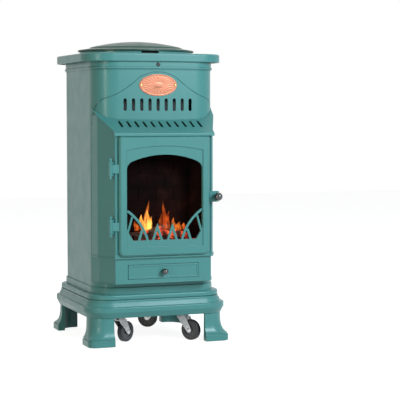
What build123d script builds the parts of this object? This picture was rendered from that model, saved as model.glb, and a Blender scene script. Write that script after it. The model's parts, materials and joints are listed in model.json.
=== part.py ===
from build123d import *
from math import cos, hypot, radians, sin
import os

# Portable gas cabinet heater in the shape of a small cast stove, on four castors.
# Millimetres. X runs to the right, Y to the back, Z up. The origin lies on the floor.

# --- plan of the cabinet ---------------------------------------------------------
body_width = 326.0
body_front = 138.0  # reach of the bowed front ahead of the origin
body_back = 206.0
front_bow = 7.0  # how far the front swells between its corners
corner_radius = 62.0
sheet = 1.5  # enamelled sheet
thin_sheet = 1.2  # inner sheet parts
seat_gap = 0.3  # clearance where one piece sits against another
running_gap = 0.05  # radial clearance of a pin in its hole
seam = 0.8  # visible hairline between panels

# --- heights ---------------------------------------------------------------------
foot_clearance = 2.5
leg_height = 72.5
plinth_band = 28.0
plinth_height = 76.0  # band, mouldings and the step the shell stands on
neck_height = 21.0
rim_height = 21.0
collar_height = 9.0
lid_edge = 4.0
lid_rise = 23.7

# --- plinth and legs -------------------------------------------------------------
plinth_reach = 28.0  # how far the plinth stands out beyond the shell at each side
plinth_front = 161.0
plinth_back = 217.0
plinth_wall = 10.0
plinth_undercut = 8.0
shelf_reach = 3.0  # the step stands out this far beyond the shell
bay_side = 6.0  # from the shell's outside to the clear space for the cylinder
bay_front = 106.0  # front of the cylinder bay, ahead of the origin
bay_wall = 3.0
leg_width = 68.0
leg_wall = 8.0
leg_inset = 11.0
leg_corner = 46.0
toe_height = 16.0
toe_radius = 20.0
toe_ledge = 3.5
tray_sheet = 2.0
tray_flange = 12.0
seat_radius = 149.0  # raised round seat for the cylinder's foot
seat_rise = 1.5

# --- castors ---------------------------------------------------------------------
wheel_radius = 27.0
wheel_width = 15.0
hub_radius = 19.0
axle_radius = 3.0
castor_trail = 25.0
castor_inset = 79.0  # from the plinth's front or back to the swivel axis
castor_side = 75.0  # from the shell's side to the swivel axis
castor_plate = 40.0
castor_plate_thickness = 2.5
fork_gap = 1.5  # between wheel and fork plate
fork_sheet = 2.0
fork_head = 8.6
kingpin_radius = 4.0
swivel_radius = 15.0
castor_headings = {"front_left": 35.0, "front_right": -55.0, "rear_left": 20.0, "rear_right": 150.0}

# --- fascia, hood and firebox ----------------------------------------------------
fascia_sheet = 2.0
bell_height = 116.0  # from the hood's back to the neck
bell_margin = 5.5  # from the bell's top to the neck
bell_steps = 16
slot_count = 9
slot_pitch = 21.9
slot_width = 8.4
slot_height = 32.0
slot_rise = 27.0  # from the hood's back to the middle of the slots
firebox_inset = 1.0  # from the shell's side to the firebox
firebox_back = 83.0
firebox_shoulder_inset = 6.0
firebox_shoulder_front = 120.0
firebox_corner_inset = 32.0
firebox_front = 183.0
firebox_wall = 3.0
bead_radius = 3.2
hood_gap = 7.0  # from the door's top to the hood's lip
hood_rise = 45.0
hood_overhang = 9.5
hood_thickness = 3.0
hood_lip_height = 7.0
hood_slot_count = 11
hood_slot_pitch = 21.2
hood_slot_width = 6.5
hood_slot_slant = 8.5
hood_slot_front = 168.0
hood_slot_margin = 4.0
ledge_height = 3.5
ledge_reach = 2.5
lower_box_inset = 4.0
lower_box_rise = 13.5  # above the shell's foot
lower_box_height = 64.5
lower_box_wall = 2.5

# --- door ------------------------------------------------------------------------
door_width = 242.0
door_rise = 6.0  # above the firebox's foot
door_height = 303.0
door_thickness = 9.7
door_bevel = 4.0
door_gap = 0.3
aperture_margin = 9.0  # the front frame laps behind the door by this much
window_width = 202.0
window_sill = 40.0  # from the door's foot
window_shoulder = 70.0  # from the door's top
window_crown = 47.0
window_chamfer = 17.0
window_corner = 22.0
recess_sill = 24.0
recess_shoulder = 36.0
recess_crown = 25.0
recess_depth = 2.2
fret_bar = 6.0
fret_thickness = 4.0
outer_bar = ((100.0, 115.5), (66.5, 82.5), (45.5, 37.0))  # curved bar, heights from the door's foot
side_strut = ((86.8, 101.0), (98.5, 61.0))
short_strut = ((61.0, 66.0), (70.0, 37.0))
spike_x = 20.0
spike_rise = 73.5
spike_half = 12.5
hinge_reach = 22.0  # from the door's edge to the hinge axis
hinge_y = 187.0
hinge_low = 76.0  # from the door's foot
hinge_high = 82.0  # from the door's top
strap_height = 22.0
strap_thickness = 3.2
barrel_radius = 5.0
hinge_pin_radius = 2.2
fixed_barrel = 7.0
finial_radius = 4.2
door_knob_radius = 11.0
door_knob_reach = 18.0
door_knob_rise = 147.5
lug_radius = 14.0

# --- firebox interior ------------------------------------------------------------
liner_margin = 15.0  # from the firebox's corner to the liner
liner_drop = 12.0  # below the hood's lip
liner_back = 110.0
brick_thickness = 7.0
burner_height = 26.0
burner_depth = 44.0
log_radius = 13.0

# --- drawer ----------------------------------------------------------------------
drawer_width = 189.0
drawer_height = 35.5
drawer_rise = 11.7  # above the lower box's floor
drawer_depth = 58.0
drawer_panel = 4.0
drawer_proud = 1.5
drawer_gap = 0.7
drawer_wall = 1.5
rail_width = 10.0
drawer_knob_radius = 8.0

# --- top -------------------------------------------------------------------------
rim_reach = 25.0
rim_front_reach = 8.0
rim_back_reach = 10.0
rim_plate = 3.0
neck_reach = 1.5
neck_bead = 2.0
neck_wall = 5.5
neck_shelf = 9.0
collar_inset = 11.0  # from the shell's side to the collar
collar_depth = 120.0  # half of the collar from front to back
collar_y = 44.0
collar_wall = 3.0
lid_overhang = 5.0
lid_wall = 2.0
notch_width = 48.0
notch_depth = 7.0
deck_drop = 15.0  # deck's top below the rim
lid_step_radius = 124.0  # where the lid's flange steps up to its dome
lid_step = 3.0
lid_flange_rise = 5.0
lid_leaf = 26.0
lid_knuckle = 10.0
lid_barrel = 4.0
lid_pin_radius = 1.5
lid_hinge_back = 8.5
lid_hinge_rise = 5.0
control_x = -45.0
control_y = -30.0
control_knob_radius = 21.0
control_knob_height = 24.0
spindle_radius = 4.0
igniter_x = 45.0
igniter_radius = 8.0
igniter_height = 9.0
valve_size = (60.0, 44.0, 36.0)
pipe_radius = 3.0
inlet_radius = 6.58
inlet_length = 14.0

# --- badge -----------------------------------------------------------------------
badge_width = 101.0
badge_height = 55.0
badge_drop = 39.0  # from the neck to the badge's centre
badge_thickness = 1.5
badge_rivet_span = 92.0
rivet_radius = 2.4

# --- rear cover ------------------------------------------------------------------
cover_split = 138.0
cover_skirt_z = 82.0
louvre_length = 46.0
louvre_width = 5.0
thumb_screw_radius = 9.0
screw_radius = 3.0

# --- places that follow from the sizes --------------------------------------------
half_body = body_width / 2
half_plinth = half_body + plinth_reach
bay_width = body_width - 2 * bay_side
castor_spacing = body_width - 2 * castor_side
firebox_side = half_body - firebox_inset
firebox_shoulder = half_body - firebox_shoulder_inset
firebox_corner = half_body - firebox_corner_inset
collar_radius = half_body - collar_inset
liner_half = firebox_corner - liner_margin
hinge_x = door_width / 2 + hinge_reach
door_knob_x = door_width / 2 + door_knob_reach
plinth_z = foot_clearance + leg_height
shell_z = plinth_z + plinth_height
lower_box_z = shell_z + lower_box_rise
drawer_z = lower_box_z + drawer_rise
firebox_z = lower_box_z + lower_box_height
door_z = firebox_z + door_rise
door_top = door_z + door_height
door_knob_z = door_z + door_knob_rise
hinge_heights = (door_z + hinge_low, door_top - hinge_high)
window_z = door_z + window_sill
window_side_z = door_top - window_shoulder
window_top_z = door_top - window_crown
hood_lip_z = door_top + hood_gap
hood_back_z = hood_lip_z + hood_rise
slot_z = hood_back_z + slot_rise
neck_z = hood_back_z + bell_height
shell_height = neck_z - shell_z
badge_z = neck_z - badge_drop
rim_z = neck_z + neck_height
collar_z = rim_z + rim_height
lid_z = collar_z + collar_height + seat_gap
deck_z = rim_z - deck_drop
plinth_y = (plinth_back - plinth_front) / 2
door_back = firebox_front + door_gap
door_front = door_back + door_thickness
hood_lip_y = firebox_front + hood_overhang
hood_fall = (hood_back_z - hood_lip_z) / (hood_lip_y - firebox_shoulder_front)
bell_top = neck_z - bell_margin
castor_plate_z = plinth_z - tray_sheet - castor_plate_thickness
corners = {"front_left": (-1, -1), "front_right": (1, -1), "rear_left": (-1, 1), "rear_right": (1, 1)}

os.makedirs("parts", exist_ok=True)


def keep(builder, name):
    builder.part.label = name
    export_step(builder.part, "parts/" + name + ".step")


# Rounded plan of the cabinet: bowed front, straight back. Reaches are measured
# outwards from the shell, so a negative reach draws the plan in.
def cabinet_plan(sketch, reach, radius, front_reach=None, back_reach=None):
    side = half_body + reach
    front = body_front + (reach if front_reach is None else front_reach)
    back = body_back + (reach if back_reach is None else back_reach)
    with BuildLine() as outline:
        ThreePointArc((-side, front_bow - front), (0, -front), (side, front_bow - front))
        Polyline((side, front_bow - front), (side, back), (-side, back), (-side, front_bow - front))
    make_face(outline.edges())
    fillet(sketch.vertices(), radius)


# Plan of the plinth, drawn in by inset; the mouldings draw in less at the back.
def plinth_plan(sketch, inset, radius, rear_share=1.0):
    front = plinth_front - inset
    back = plinth_back - rear_share * inset
    with Locations((0, (back - front) / 2)):
        Rectangle(2 * (half_plinth - inset), front + back)
    fillet(sketch.vertices(), radius)


# Plan of the firebox: short sides, angled faces and a flat front, grown outwards.
# Where the sides meet the cabinet they can grow by an amount of their own.
def firebox_plan(grow, back_grow=None):
    side = firebox_side + (grow if back_grow is None else back_grow)
    shoulder = firebox_shoulder + grow
    corner = firebox_corner + 0.7 * grow
    front = firebox_front + grow
    right = [(side, -firebox_back), (shoulder, -firebox_shoulder_front - 0.35 * grow), (corner, -front)]
    left = [(-x, y) for x, y in reversed(right)]
    with BuildLine() as outline:
        Polyline(*right, *left, close=True)
    make_face(outline.edges())


# Height of the hood's upper surface at a reach ahead of the origin.
def hood_height(reach):
    return hood_back_z - hood_fall * (reach - firebox_shoulder_front)


# Bell-shaped outline of the fascia in the front view, drawn in evenly by inset.
def bell_outline(inset):
    half = half_body
    rise = bell_top - hood_back_z
    shape = ((0.981, 0.0), (0.95, 0.24), (0.903, 0.342), (0.844, 0.396), (0.75, 0.445), (0.571, 0.577))
    shape += ((0.46, 0.69), (0.357, 0.814), (0.263, 0.914), (0.134, 0.985), (0.0, 1.0))
    with BuildLine() as edge:
        Spline(*[(half * x, hood_back_z + rise * z) for x, z in shape], tangents=((-0.1, 1), (-1, 0)))
    spots = []
    for step in range(bell_steps + 1):
        spot = edge.line @ (step / bell_steps)
        along = edge.line % (step / bell_steps)
        spots.append((spot.X - inset * along.Y, spot.Y + inset * along.X))
    side = half + 2
    shoulder_z = hood_back_z - 0.5 - inset
    foot_z = hood_back_z - 20
    start = spots[0][0]
    with BuildLine() as outline:
        for hand in (1, -1):
            Spline(*[(hand * x, z) for x, z in spots], tangents=((-0.1 * hand, 1), (-hand, 0)))
        Polyline(spots[0], (start, shoulder_z), (side, shoulder_z), (side, foot_z), (-side, foot_z),
                 (-side, shoulder_z), (-start, shoulder_z), (-start, spots[0][1]))
    make_face(outline.edges())


# Arched opening in the front view: straight sides, a shallow arc on top.
def arched_outline(width, low, side_top, crown):
    with BuildLine() as outline:
        ThreePointArc((-width / 2, side_top), (0, crown), (width / 2, side_top))
        Polyline((width / 2, side_top), (width / 2, low), (-width / 2, low), (-width / 2, side_top))
    make_face(outline.edges())


# --- plinth: a band, a cove, two beads and the step the shell stands on -------------
with BuildPart() as plinth:
    with BuildSketch(Plane.XY.offset(plinth_z)) as band:
        plinth_plan(band, 0, corner_radius)
    extrude(amount=plinth_band)
    chamfer(plinth.edges().group_by(Axis.Z)[0], length=15, length2=plinth_undercut)
    fillet(plinth.edges().group_by(Axis.Z)[-1], 3)
    tiers = ((6.5, 0.0, 11.0, 25.0, 0.0), (12.5, 11.0, 16.5, 0.0, 2.0), (17.0, 16.5, 18.5, 0.0, 0.0),
             (13.5, 18.5, 30.5, 0.0, 5.0))
    for inset, low, high, lean, nose in tiers:
        with BuildSketch(Plane.XY.offset(plinth_z + plinth_band + low)) as tier:
            plinth_plan(tier, inset, corner_radius - 0.3 * inset, 0.4)
        extrude(amount=high - low, taper=lean)
        if nose:
            fillet(plinth.edges().group_by(Axis.Z)[-1], nose)
    shelf_z = plinth_z + plinth_band + tiers[-1][2]
    with BuildSketch(Plane.XY.offset(shelf_z)) as shelf:
        cabinet_plan(shelf, shelf_reach, corner_radius)
    extrude(amount=shell_z - shelf_z)
    fillet(plinth.edges().group_by(Axis.Z)[-1], 1.5)
    with BuildSketch(Plane.XY.offset(plinth_z)) as hollow:
        plinth_plan(hollow, plinth_undercut + plinth_wall, corner_radius)
        with Locations((0, plinth_y)):
            Rectangle(bay_width + 2 * bay_wall, 2 * (plinth_back - plinth_y), mode=Mode.SUBTRACT)
    extrude(amount=plinth_band + 16, mode=Mode.SUBTRACT)
    with BuildSketch(Plane.XY.offset(plinth_z)) as front_hollow:
        plinth_plan(front_hollow, plinth_undercut + plinth_wall, corner_radius)
        with Locations((0, -(plinth_front + bay_front + bay_wall) / 2)):
            Rectangle(bay_width + 2 * bay_wall, plinth_front - bay_front - bay_wall, mode=Mode.INTERSECT)
    extrude(amount=plinth_band + 16, mode=Mode.SUBTRACT)
    with BuildSketch(Plane.XY.offset(plinth_z)) as bay:
        with Locations((0, plinth_back / 2 - bay_front / 2 + 5)):
            Rectangle(bay_width, plinth_back + bay_front + 10)
    extrude(amount=plinth_height + 5, mode=Mode.SUBTRACT)
keep(plinth, "plinth")

# --- four splayed legs: L-shaped walls that flare to a thick toe, open towards the castor
leg_flare = ((0.0, 0.0, leg_corner), (30.0, 1.0, leg_corner - 4), (44.0, 4.0, leg_corner - 10))
leg_flare += ((leg_height - toe_height - toe_ledge, leg_inset - 1.0, toe_radius + 6),)
for place, (sx, sy) in corners.items():
    inner_x = half_plinth - leg_width
    inner_y = (plinth_front + plinth_back) / 2 - leg_width
    with BuildPart() as leg:
        for drop, flare, radius in leg_flare:
            span = leg_width - leg_inset + flare
            with BuildSketch(Plane.XY.offset(plinth_z - drop)) as section:
                with Locations((sx * (inner_x + span / 2), plinth_y + sy * (inner_y + span / 2))):
                    Rectangle(span, span)
                fillet(section.vertices().sort_by_distance((sx * 999, plinth_y + sy * 999))[0], radius)
        loft()
        for low, high, reach in ((0.0, toe_height, 0.0), (toe_height, toe_height + toe_ledge, -2.5)):
            span = leg_width + reach
            with BuildSketch(Plane.XY.offset(foot_clearance + low)) as toe:
                with Locations((sx * (inner_x + span / 2), plinth_y + sy * (inner_y + span / 2))):
                    Rectangle(span, span)
                fillet(toe.vertices().sort_by_distance((sx * 999, plinth_y + sy * 999))[0], toe_radius)
            extrude(amount=high - low)
        fillet(leg.edges().filter_by_position(Axis.Z, foot_clearance - 0.1, foot_clearance + 0.1), 2)
        core = leg_width - leg_inset - leg_wall
        core_x = sx * (inner_x + core / 2 - 2)
        core_y = plinth_y + sy * (inner_y + core / 2 - 2)
        with BuildSketch(Plane.XY.offset(foot_clearance - 1)) as inside:
            with Locations((core_x, core_y)):
                Rectangle(core + 4, core + 4)
            fillet(inside.vertices().sort_by_distance((sx * 999, plinth_y + sy * 999))[0], leg_corner - leg_wall)
        extrude(amount=leg_height + 2, mode=Mode.SUBTRACT)
    keep(leg, "leg_" + place)

# --- cylinder tray: flat floor under the bay with downturned edges -----------------
tray_half = bay_width / 2 + bay_wall
tray_front = bay_front + bay_wall
tray_back = plinth_back - leg_inset - leg_wall - 0.5
with BuildPart() as cylinder_tray:
    with BuildSketch(Plane.XY.offset(plinth_z - tray_sheet)) as floor_plan:
        with Locations((0, (tray_back - tray_front) / 2)):
            Rectangle(2 * tray_half, tray_back + tray_front)
        fillet(floor_plan.vertices().group_by(Axis.Y)[-1], leg_corner - leg_wall)
    extrude(amount=tray_sheet)
    with BuildSketch(Plane.XY.offset(plinth_z - tray_flange)):
        with Locations((tray_half - tray_sheet / 2, plinth_y), (tray_sheet / 2 - tray_half, plinth_y)):
            Rectangle(tray_sheet, tray_back - plinth_y)
        with Locations((0, tray_back - tray_sheet / 2)):
            Rectangle(1.6 * tray_half, tray_sheet)
    extrude(amount=tray_flange)
    with BuildSketch(Plane.XY.offset(plinth_z)):
        with Locations((0, (tray_back - bay_front) / 2)):
            Circle(seat_radius)
    extrude(amount=seat_rise)
keep(cylinder_tray, "cylinder_tray")

# --- castors: fixed plates with kingpins, swivel forks, hubs and tyres -------------
fork_top = castor_plate_z - seat_gap
bridge_z = fork_top - fork_head - fork_sheet
fork_half = wheel_width / 2 + fork_gap + fork_sheet
castor_places = {}
for place, (sx, sy) in corners.items():
    swivel_y = castor_inset - plinth_front if sy < 0 else plinth_back - castor_inset
    castor_places[place] = (sx * castor_spacing / 2, swivel_y)

with BuildPart() as castor_plates:
    with BuildSketch(Plane.XY.offset(castor_plate_z)) as plates:
        with Locations(*castor_places.values()):
            RectangleRounded(castor_plate, castor_plate, 5)
    extrude(amount=castor_plate_thickness)
    with BuildSketch(Plane.XY.offset(bridge_z - seat_gap)):
        with Locations(*castor_places.values()):
            Circle(kingpin_radius)
    extrude(amount=castor_plate_z - bridge_z + seat_gap)
    with BuildSketch(Plane.XY.offset(bridge_z - seat_gap - 1.5)):
        with Locations(*castor_places.values()):
            Circle(kingpin_radius + 2)
    extrude(amount=1.5)
keep(castor_plates, "castor_plates")

for place, heading in castor_headings.items():
    turn = radians(heading)
    swivel = Plane(origin=(*castor_places[place], 0), x_dir=(cos(turn), sin(turn), 0), z_dir=(0, 0, 1))
    across = Vector(sin(turn), -cos(turn), 0)
    axle = swivel.from_local_coords((castor_trail, 0, wheel_radius))
    with BuildPart() as fork:
        for side in (1, -1):
            outer = swivel.from_local_coords((0, -side * fork_half, 0))
            cheek = Plane(origin=outer, x_dir=swivel.x_dir, z_dir=across)
            with BuildSketch(cheek):
                with Locations((castor_trail, wheel_radius)):
                    Circle(7)
                with Locations((1, bridge_z + fork_sheet / 2)):
                    Rectangle(28, fork_sheet)
                make_hull()
            extrude(amount=-side * fork_sheet)
        with BuildSketch(swivel.offset(bridge_z)):
            with Locations((1, 0)):
                Rectangle(28, 2 * fork_half)
        extrude(amount=fork_sheet)
        with BuildSketch(swivel.offset(bridge_z + fork_sheet)):
            Circle(swivel_radius)
        extrude(amount=fork_head, taper=12)
        with BuildSketch(swivel.offset(bridge_z - 1)):
            Circle(kingpin_radius + running_gap)
        extrude(amount=fork_head + fork_sheet + 2, mode=Mode.SUBTRACT)
        with BuildSketch(Plane(origin=axle, z_dir=across)):
            Circle(axle_radius)
        extrude(amount=fork_half + 1.5, both=True)
        with BuildSketch(Plane(origin=axle + across * fork_half, z_dir=across)):
            Circle(axle_radius + 1.5)
        extrude(amount=1.2)
        with BuildSketch(Plane(origin=axle - across * fork_half, z_dir=-across)):
            Circle(axle_radius + 1.5)
        extrude(amount=1.2)
    keep(fork, "castor_fork_" + place)
    with BuildPart() as hub:
        with BuildSketch(Plane(origin=axle, z_dir=across)) as disc:
            Circle(hub_radius)
            Circle(axle_radius + running_gap, mode=Mode.SUBTRACT)
        extrude(amount=wheel_width / 2, both=True)
        for side in (1, -1):
            with BuildSketch(Plane(origin=axle + across * (side * wheel_width / 2), z_dir=across * side)):
                Circle(hub_radius - 3)
                Circle(axle_radius + 4, mode=Mode.SUBTRACT)
            extrude(amount=-2.5, mode=Mode.SUBTRACT)
    keep(hub, "castor_hub_" + place)
    with BuildPart() as tyre:
        with BuildSketch(Plane(origin=axle, z_dir=across)):
            Circle(wheel_radius)
            Circle(hub_radius + running_gap, mode=Mode.SUBTRACT)
        extrude(amount=wheel_width / 2, both=True)
        fillet(tyre.edges().filter_by(GeomType.CIRCLE).group_by(SortBy.RADIUS)[-1], 3)
    keep(tyre, "castor_tyre_" + place)

# --- body shell: one wrap of sheet, open at the back and below the bell ------------
with BuildPart() as body_shell:
    with BuildSketch(Plane.XY.offset(shell_z)) as wrap:
        cabinet_plan(wrap, 0, corner_radius)
        offset(amount=-sheet, mode=Mode.SUBTRACT)
    extrude(amount=shell_height)
    with BuildSketch(Plane.XY.offset(shell_z)):
        with Locations((0, cover_split + body_back / 2)):
            Rectangle(2 * body_width, body_back)
    extrude(amount=shell_height, mode=Mode.SUBTRACT)
    with BuildSketch(Plane.XZ.offset(2 * body_front)):
        bell_outline(0)
        band_top = lower_box_z - seat_gap
        with Locations((0, (band_top + hood_back_z - 19) / 2)):
            Rectangle(body_width + 10, hood_back_z - 19 - band_top)
    extrude(amount=firebox_back - 1 - 2 * body_front, mode=Mode.SUBTRACT)
    for sx in (1, -1):
        with BuildSketch(Plane.XY.offset(shell_z)):
            with Locations((sx * (half_body - sheet - 2.5), cover_split - sheet / 2)):
                Rectangle(5.2, sheet)
        extrude(amount=shell_height)
keep(body_shell, "body_shell")

# --- fascia: the bell-shaped plate with its row of slots ---------------------------
with BuildPart() as fascia:
    with BuildSketch(Plane.XY.offset(hood_back_z - 20)) as skin:
        cabinet_plan(skin, 0, corner_radius)
        offset(amount=-fascia_sheet, mode=Mode.SUBTRACT)
    extrude(amount=bell_top - hood_back_z + 30)
    with BuildSketch(Plane.XZ.offset(2 * body_front)):
        bell_outline(seam)
    extrude(amount=firebox_back - 1 + seam - 2 * body_front, mode=Mode.INTERSECT)
    with BuildSketch(Plane.XZ.offset(2 * body_front)):
        with Locations((0, slot_z)):
            with GridLocations(slot_pitch, 0, slot_count, 1):
                SlotOverall(slot_height, slot_width, rotation=90)
    extrude(amount=-2 * body_front, mode=Mode.SUBTRACT)
keep(fascia, "fascia")

# --- firebox surround: angled walls, bead columns, ledge and door frame ------------
with BuildPart() as firebox_surround:
    with BuildSketch(Plane.XY.offset(firebox_z)) as walls:
        firebox_plan(0)
        with Locations((firebox_corner - 3.4, 1.0 - firebox_front), (3.4 - firebox_corner, 1.0 - firebox_front)):
            Circle(bead_radius)
    extrude(amount=hood_back_z - firebox_z)
    with BuildSketch(Plane.XY.offset(firebox_z)):
        firebox_plan(ledge_reach)
    extrude(amount=ledge_height)
    with BuildSketch(Plane.XY.offset(firebox_z)):
        firebox_plan(-firebox_wall)
        with Locations((0, -firebox_back)):
            Rectangle(2 * (firebox_side - firebox_wall), 2 * firebox_wall)
    extrude(amount=hood_back_z - firebox_z, mode=Mode.SUBTRACT)
    with BuildSketch(Plane.YZ):
        near, far = firebox_back - 20, hood_lip_y + 20
        drop = hood_thickness * hypot(1, hood_fall) + seat_gap
        with BuildLine():
            Polyline((-near, hood_height(near) - drop), (-far, hood_height(far) - drop), (-far, hood_back_z + 40),
                     (-near, hood_back_z + 40), close=True)
        make_face()
    extrude(amount=body_width, both=True, mode=Mode.SUBTRACT)
    with BuildSketch(Plane.XY.offset(hood_back_z - 21)) as cabinet:
        cabinet_plan(cabinet, seat_gap, corner_radius)
    extrude(amount=40, mode=Mode.SUBTRACT)
    with BuildSketch(Plane.XZ.offset(firebox_front + 20)):
        with Locations((0, door_z + door_height / 2)):
            Rectangle(door_width - 2 * aperture_margin, door_height - 2 * aperture_margin)
    extrude(amount=-(20 + 2 * firebox_wall), mode=Mode.SUBTRACT)
keep(firebox_surround, "firebox_surround")

# --- hood: sloping plate with a turned-down lip and slanted slots ------------------
with BuildPart() as hood:
    with BuildSketch(Plane.XY.offset(hood_lip_z - 40)):
        firebox_plan(1.0)
        with Locations((0, -(hood_lip_y + firebox_back) / 2)):
            Rectangle(2 * firebox_corner + 5, hood_lip_y - firebox_back)
    extrude(amount=hood_back_z - hood_lip_z + 80)
    with BuildSketch(Plane.YZ):
        near, far = firebox_back, hood_lip_y
        drop = hood_thickness * hypot(1, hood_fall)
        lip = far - hood_thickness
        with BuildLine():
            Polyline((-near, hood_height(near)), (-far, hood_height(far)), (-far, hood_height(far) - hood_lip_height),
                     (-lip, hood_height(far) - hood_lip_height), (-lip, hood_height(lip) - drop),
                     (-near, hood_height(near) - drop), close=True)
        make_face()
    extrude(amount=body_width, both=True, mode=Mode.INTERSECT)
    with BuildSketch(Plane.XY.offset(hood_lip_z - 40)) as core:
        cabinet_plan(core, seat_gap, corner_radius)
    extrude(amount=hood_back_z - hood_lip_z + 80, mode=Mode.SUBTRACT)
    fillet(hood.edges().filter_by(Axis.X).filter_by_position(Axis.Z, hood_lip_z - 0.5, hood_lip_z + 0.5), 2.0)
    with BuildSketch(Plane.XY.offset(hood_lip_z - 40)):
        for index in range(hood_slot_count):
            x = (index - (hood_slot_count - 1) / 2) * hood_slot_pitch
            back = body_front - front_bow * (x / half_body) ** 2 + hood_slot_margin
            length = (hood_slot_front - back) / cos(radians(hood_slot_slant))
            with Locations((x, -(back + hood_slot_front) / 2)):
                SlotOverall(length, hood_slot_width, rotation=hood_slot_slant - 90)
    extrude(amount=hood_back_z - hood_lip_z + 80, mode=Mode.SUBTRACT)
keep(hood, "hood")

# --- lower box: open-backed drawer housing under the firebox -----------------------
lower_front = firebox_front - lower_box_inset
slot_half = drawer_width / 2 + drawer_gap
rail_x = slot_half - 20
rail_top = drawer_z + 1.0 - seat_gap
with BuildPart() as lower_box:
    with BuildSketch(Plane.XY.offset(lower_box_z)):
        firebox_plan(-lower_box_inset, 0)
    extrude(amount=firebox_z - lower_box_z)
    with BuildSketch(Plane.XY.offset(lower_box_z + lower_box_wall)):
        firebox_plan(-lower_box_inset - lower_box_wall, -lower_box_wall)
        with Locations((0, -firebox_back)):
            Rectangle(2 * (firebox_side - lower_box_wall), 4 * lower_box_wall)
    extrude(amount=firebox_z - lower_box_z, mode=Mode.SUBTRACT)
    with BuildSketch(Plane.XY.offset(lower_box_z)):
        firebox_plan(1.5 - lower_box_inset, 0)
        with Locations((0, 1 - firebox_back)):
            Rectangle(2 * firebox_side, 10, mode=Mode.SUBTRACT)
    extrude(amount=2.5)
    with BuildSketch(Plane.XZ.offset(lower_front + 5)):
        with Locations((0, drawer_z + drawer_height / 2)):
            Rectangle(2 * slot_half, drawer_height + 2 * drawer_gap)
    extrude(amount=-5 - 2 * lower_box_wall, mode=Mode.SUBTRACT)
    with BuildSketch(Plane.XY.offset(lower_box_z)):
        with Locations((rail_x, 40 - lower_front), (-rail_x, 40 - lower_front)):
            Rectangle(rail_width, 70)
    extrude(amount=rail_top - lower_box_z)
    with BuildSketch(Plane.XY.offset(lower_box_z)):
        cut_front, cut_back = bay_front + 10, firebox_back - 5
        with Locations((0, -(cut_front + cut_back) / 2)):
            Rectangle(2 * (firebox_side - lower_box_wall) - 16, cut_front - cut_back)
    extrude(amount=firebox_z - lower_box_z, mode=Mode.SUBTRACT)
keep(lower_box, "lower_box")

# --- drawer: panel with a raised border, shallow tray and ball knob ----------------
panel_front = lower_front + drawer_proud
tray_half_width = slot_half - 5
with BuildPart() as drawer:
    with BuildSketch(Plane.XZ.offset(panel_front)):
        with Locations((0, drawer_z + drawer_height / 2)):
            RectangleRounded(drawer_width, drawer_height, 2)
    extrude(amount=-drawer_panel)
    with BuildSketch(Plane.XZ.offset(panel_front)):
        with Locations((0, drawer_z + drawer_height / 2)):
            RectangleRounded(drawer_width - 9, drawer_height - 9, 1.5)
    extrude(amount=-1.0, mode=Mode.SUBTRACT)
    fillet(drawer.faces().sort_by(Axis.Y)[0].outer_wire().edges(), 0.8)
    tray_y = drawer_panel - panel_front + drawer_depth / 2
    with BuildSketch(Plane.XY.offset(drawer_z + 1)):
        with Locations((0, tray_y)):
            Rectangle(2 * tray_half_width, drawer_depth)
    extrude(amount=drawer_height - 8)
    with BuildSketch(Plane.XY.offset(drawer_z + 1 + drawer_wall)):
        with Locations((0, tray_y)):
            Rectangle(2 * (tray_half_width - drawer_wall), drawer_depth - 2 * drawer_wall)
    extrude(amount=drawer_height, mode=Mode.SUBTRACT)
keep(drawer, "drawer")


# Ball knob on a short stem and a back rose, pointing forwards.
def ball_knob(place, radius, stem, stem_radius):
    x, reach, z = place
    front = Plane(origin=(x, -reach, z), z_dir=(0, -1, 0))
    with BuildPart() as knob:
        with BuildSketch(front):
            Circle(stem_radius * 1.7)
        extrude(amount=1.5)
        with BuildSketch(front):
            Circle(stem_radius)
        extrude(amount=stem + 2)
        with Locations((x, -reach - stem - radius * 0.97, z)):
            Sphere(radius)
    return knob


drawer_knob = ball_knob((0, panel_front - 1.0, drawer_z + drawer_height / 2), drawer_knob_radius, 4.0, 3.5)
keep(drawer_knob, "drawer_knob")

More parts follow.
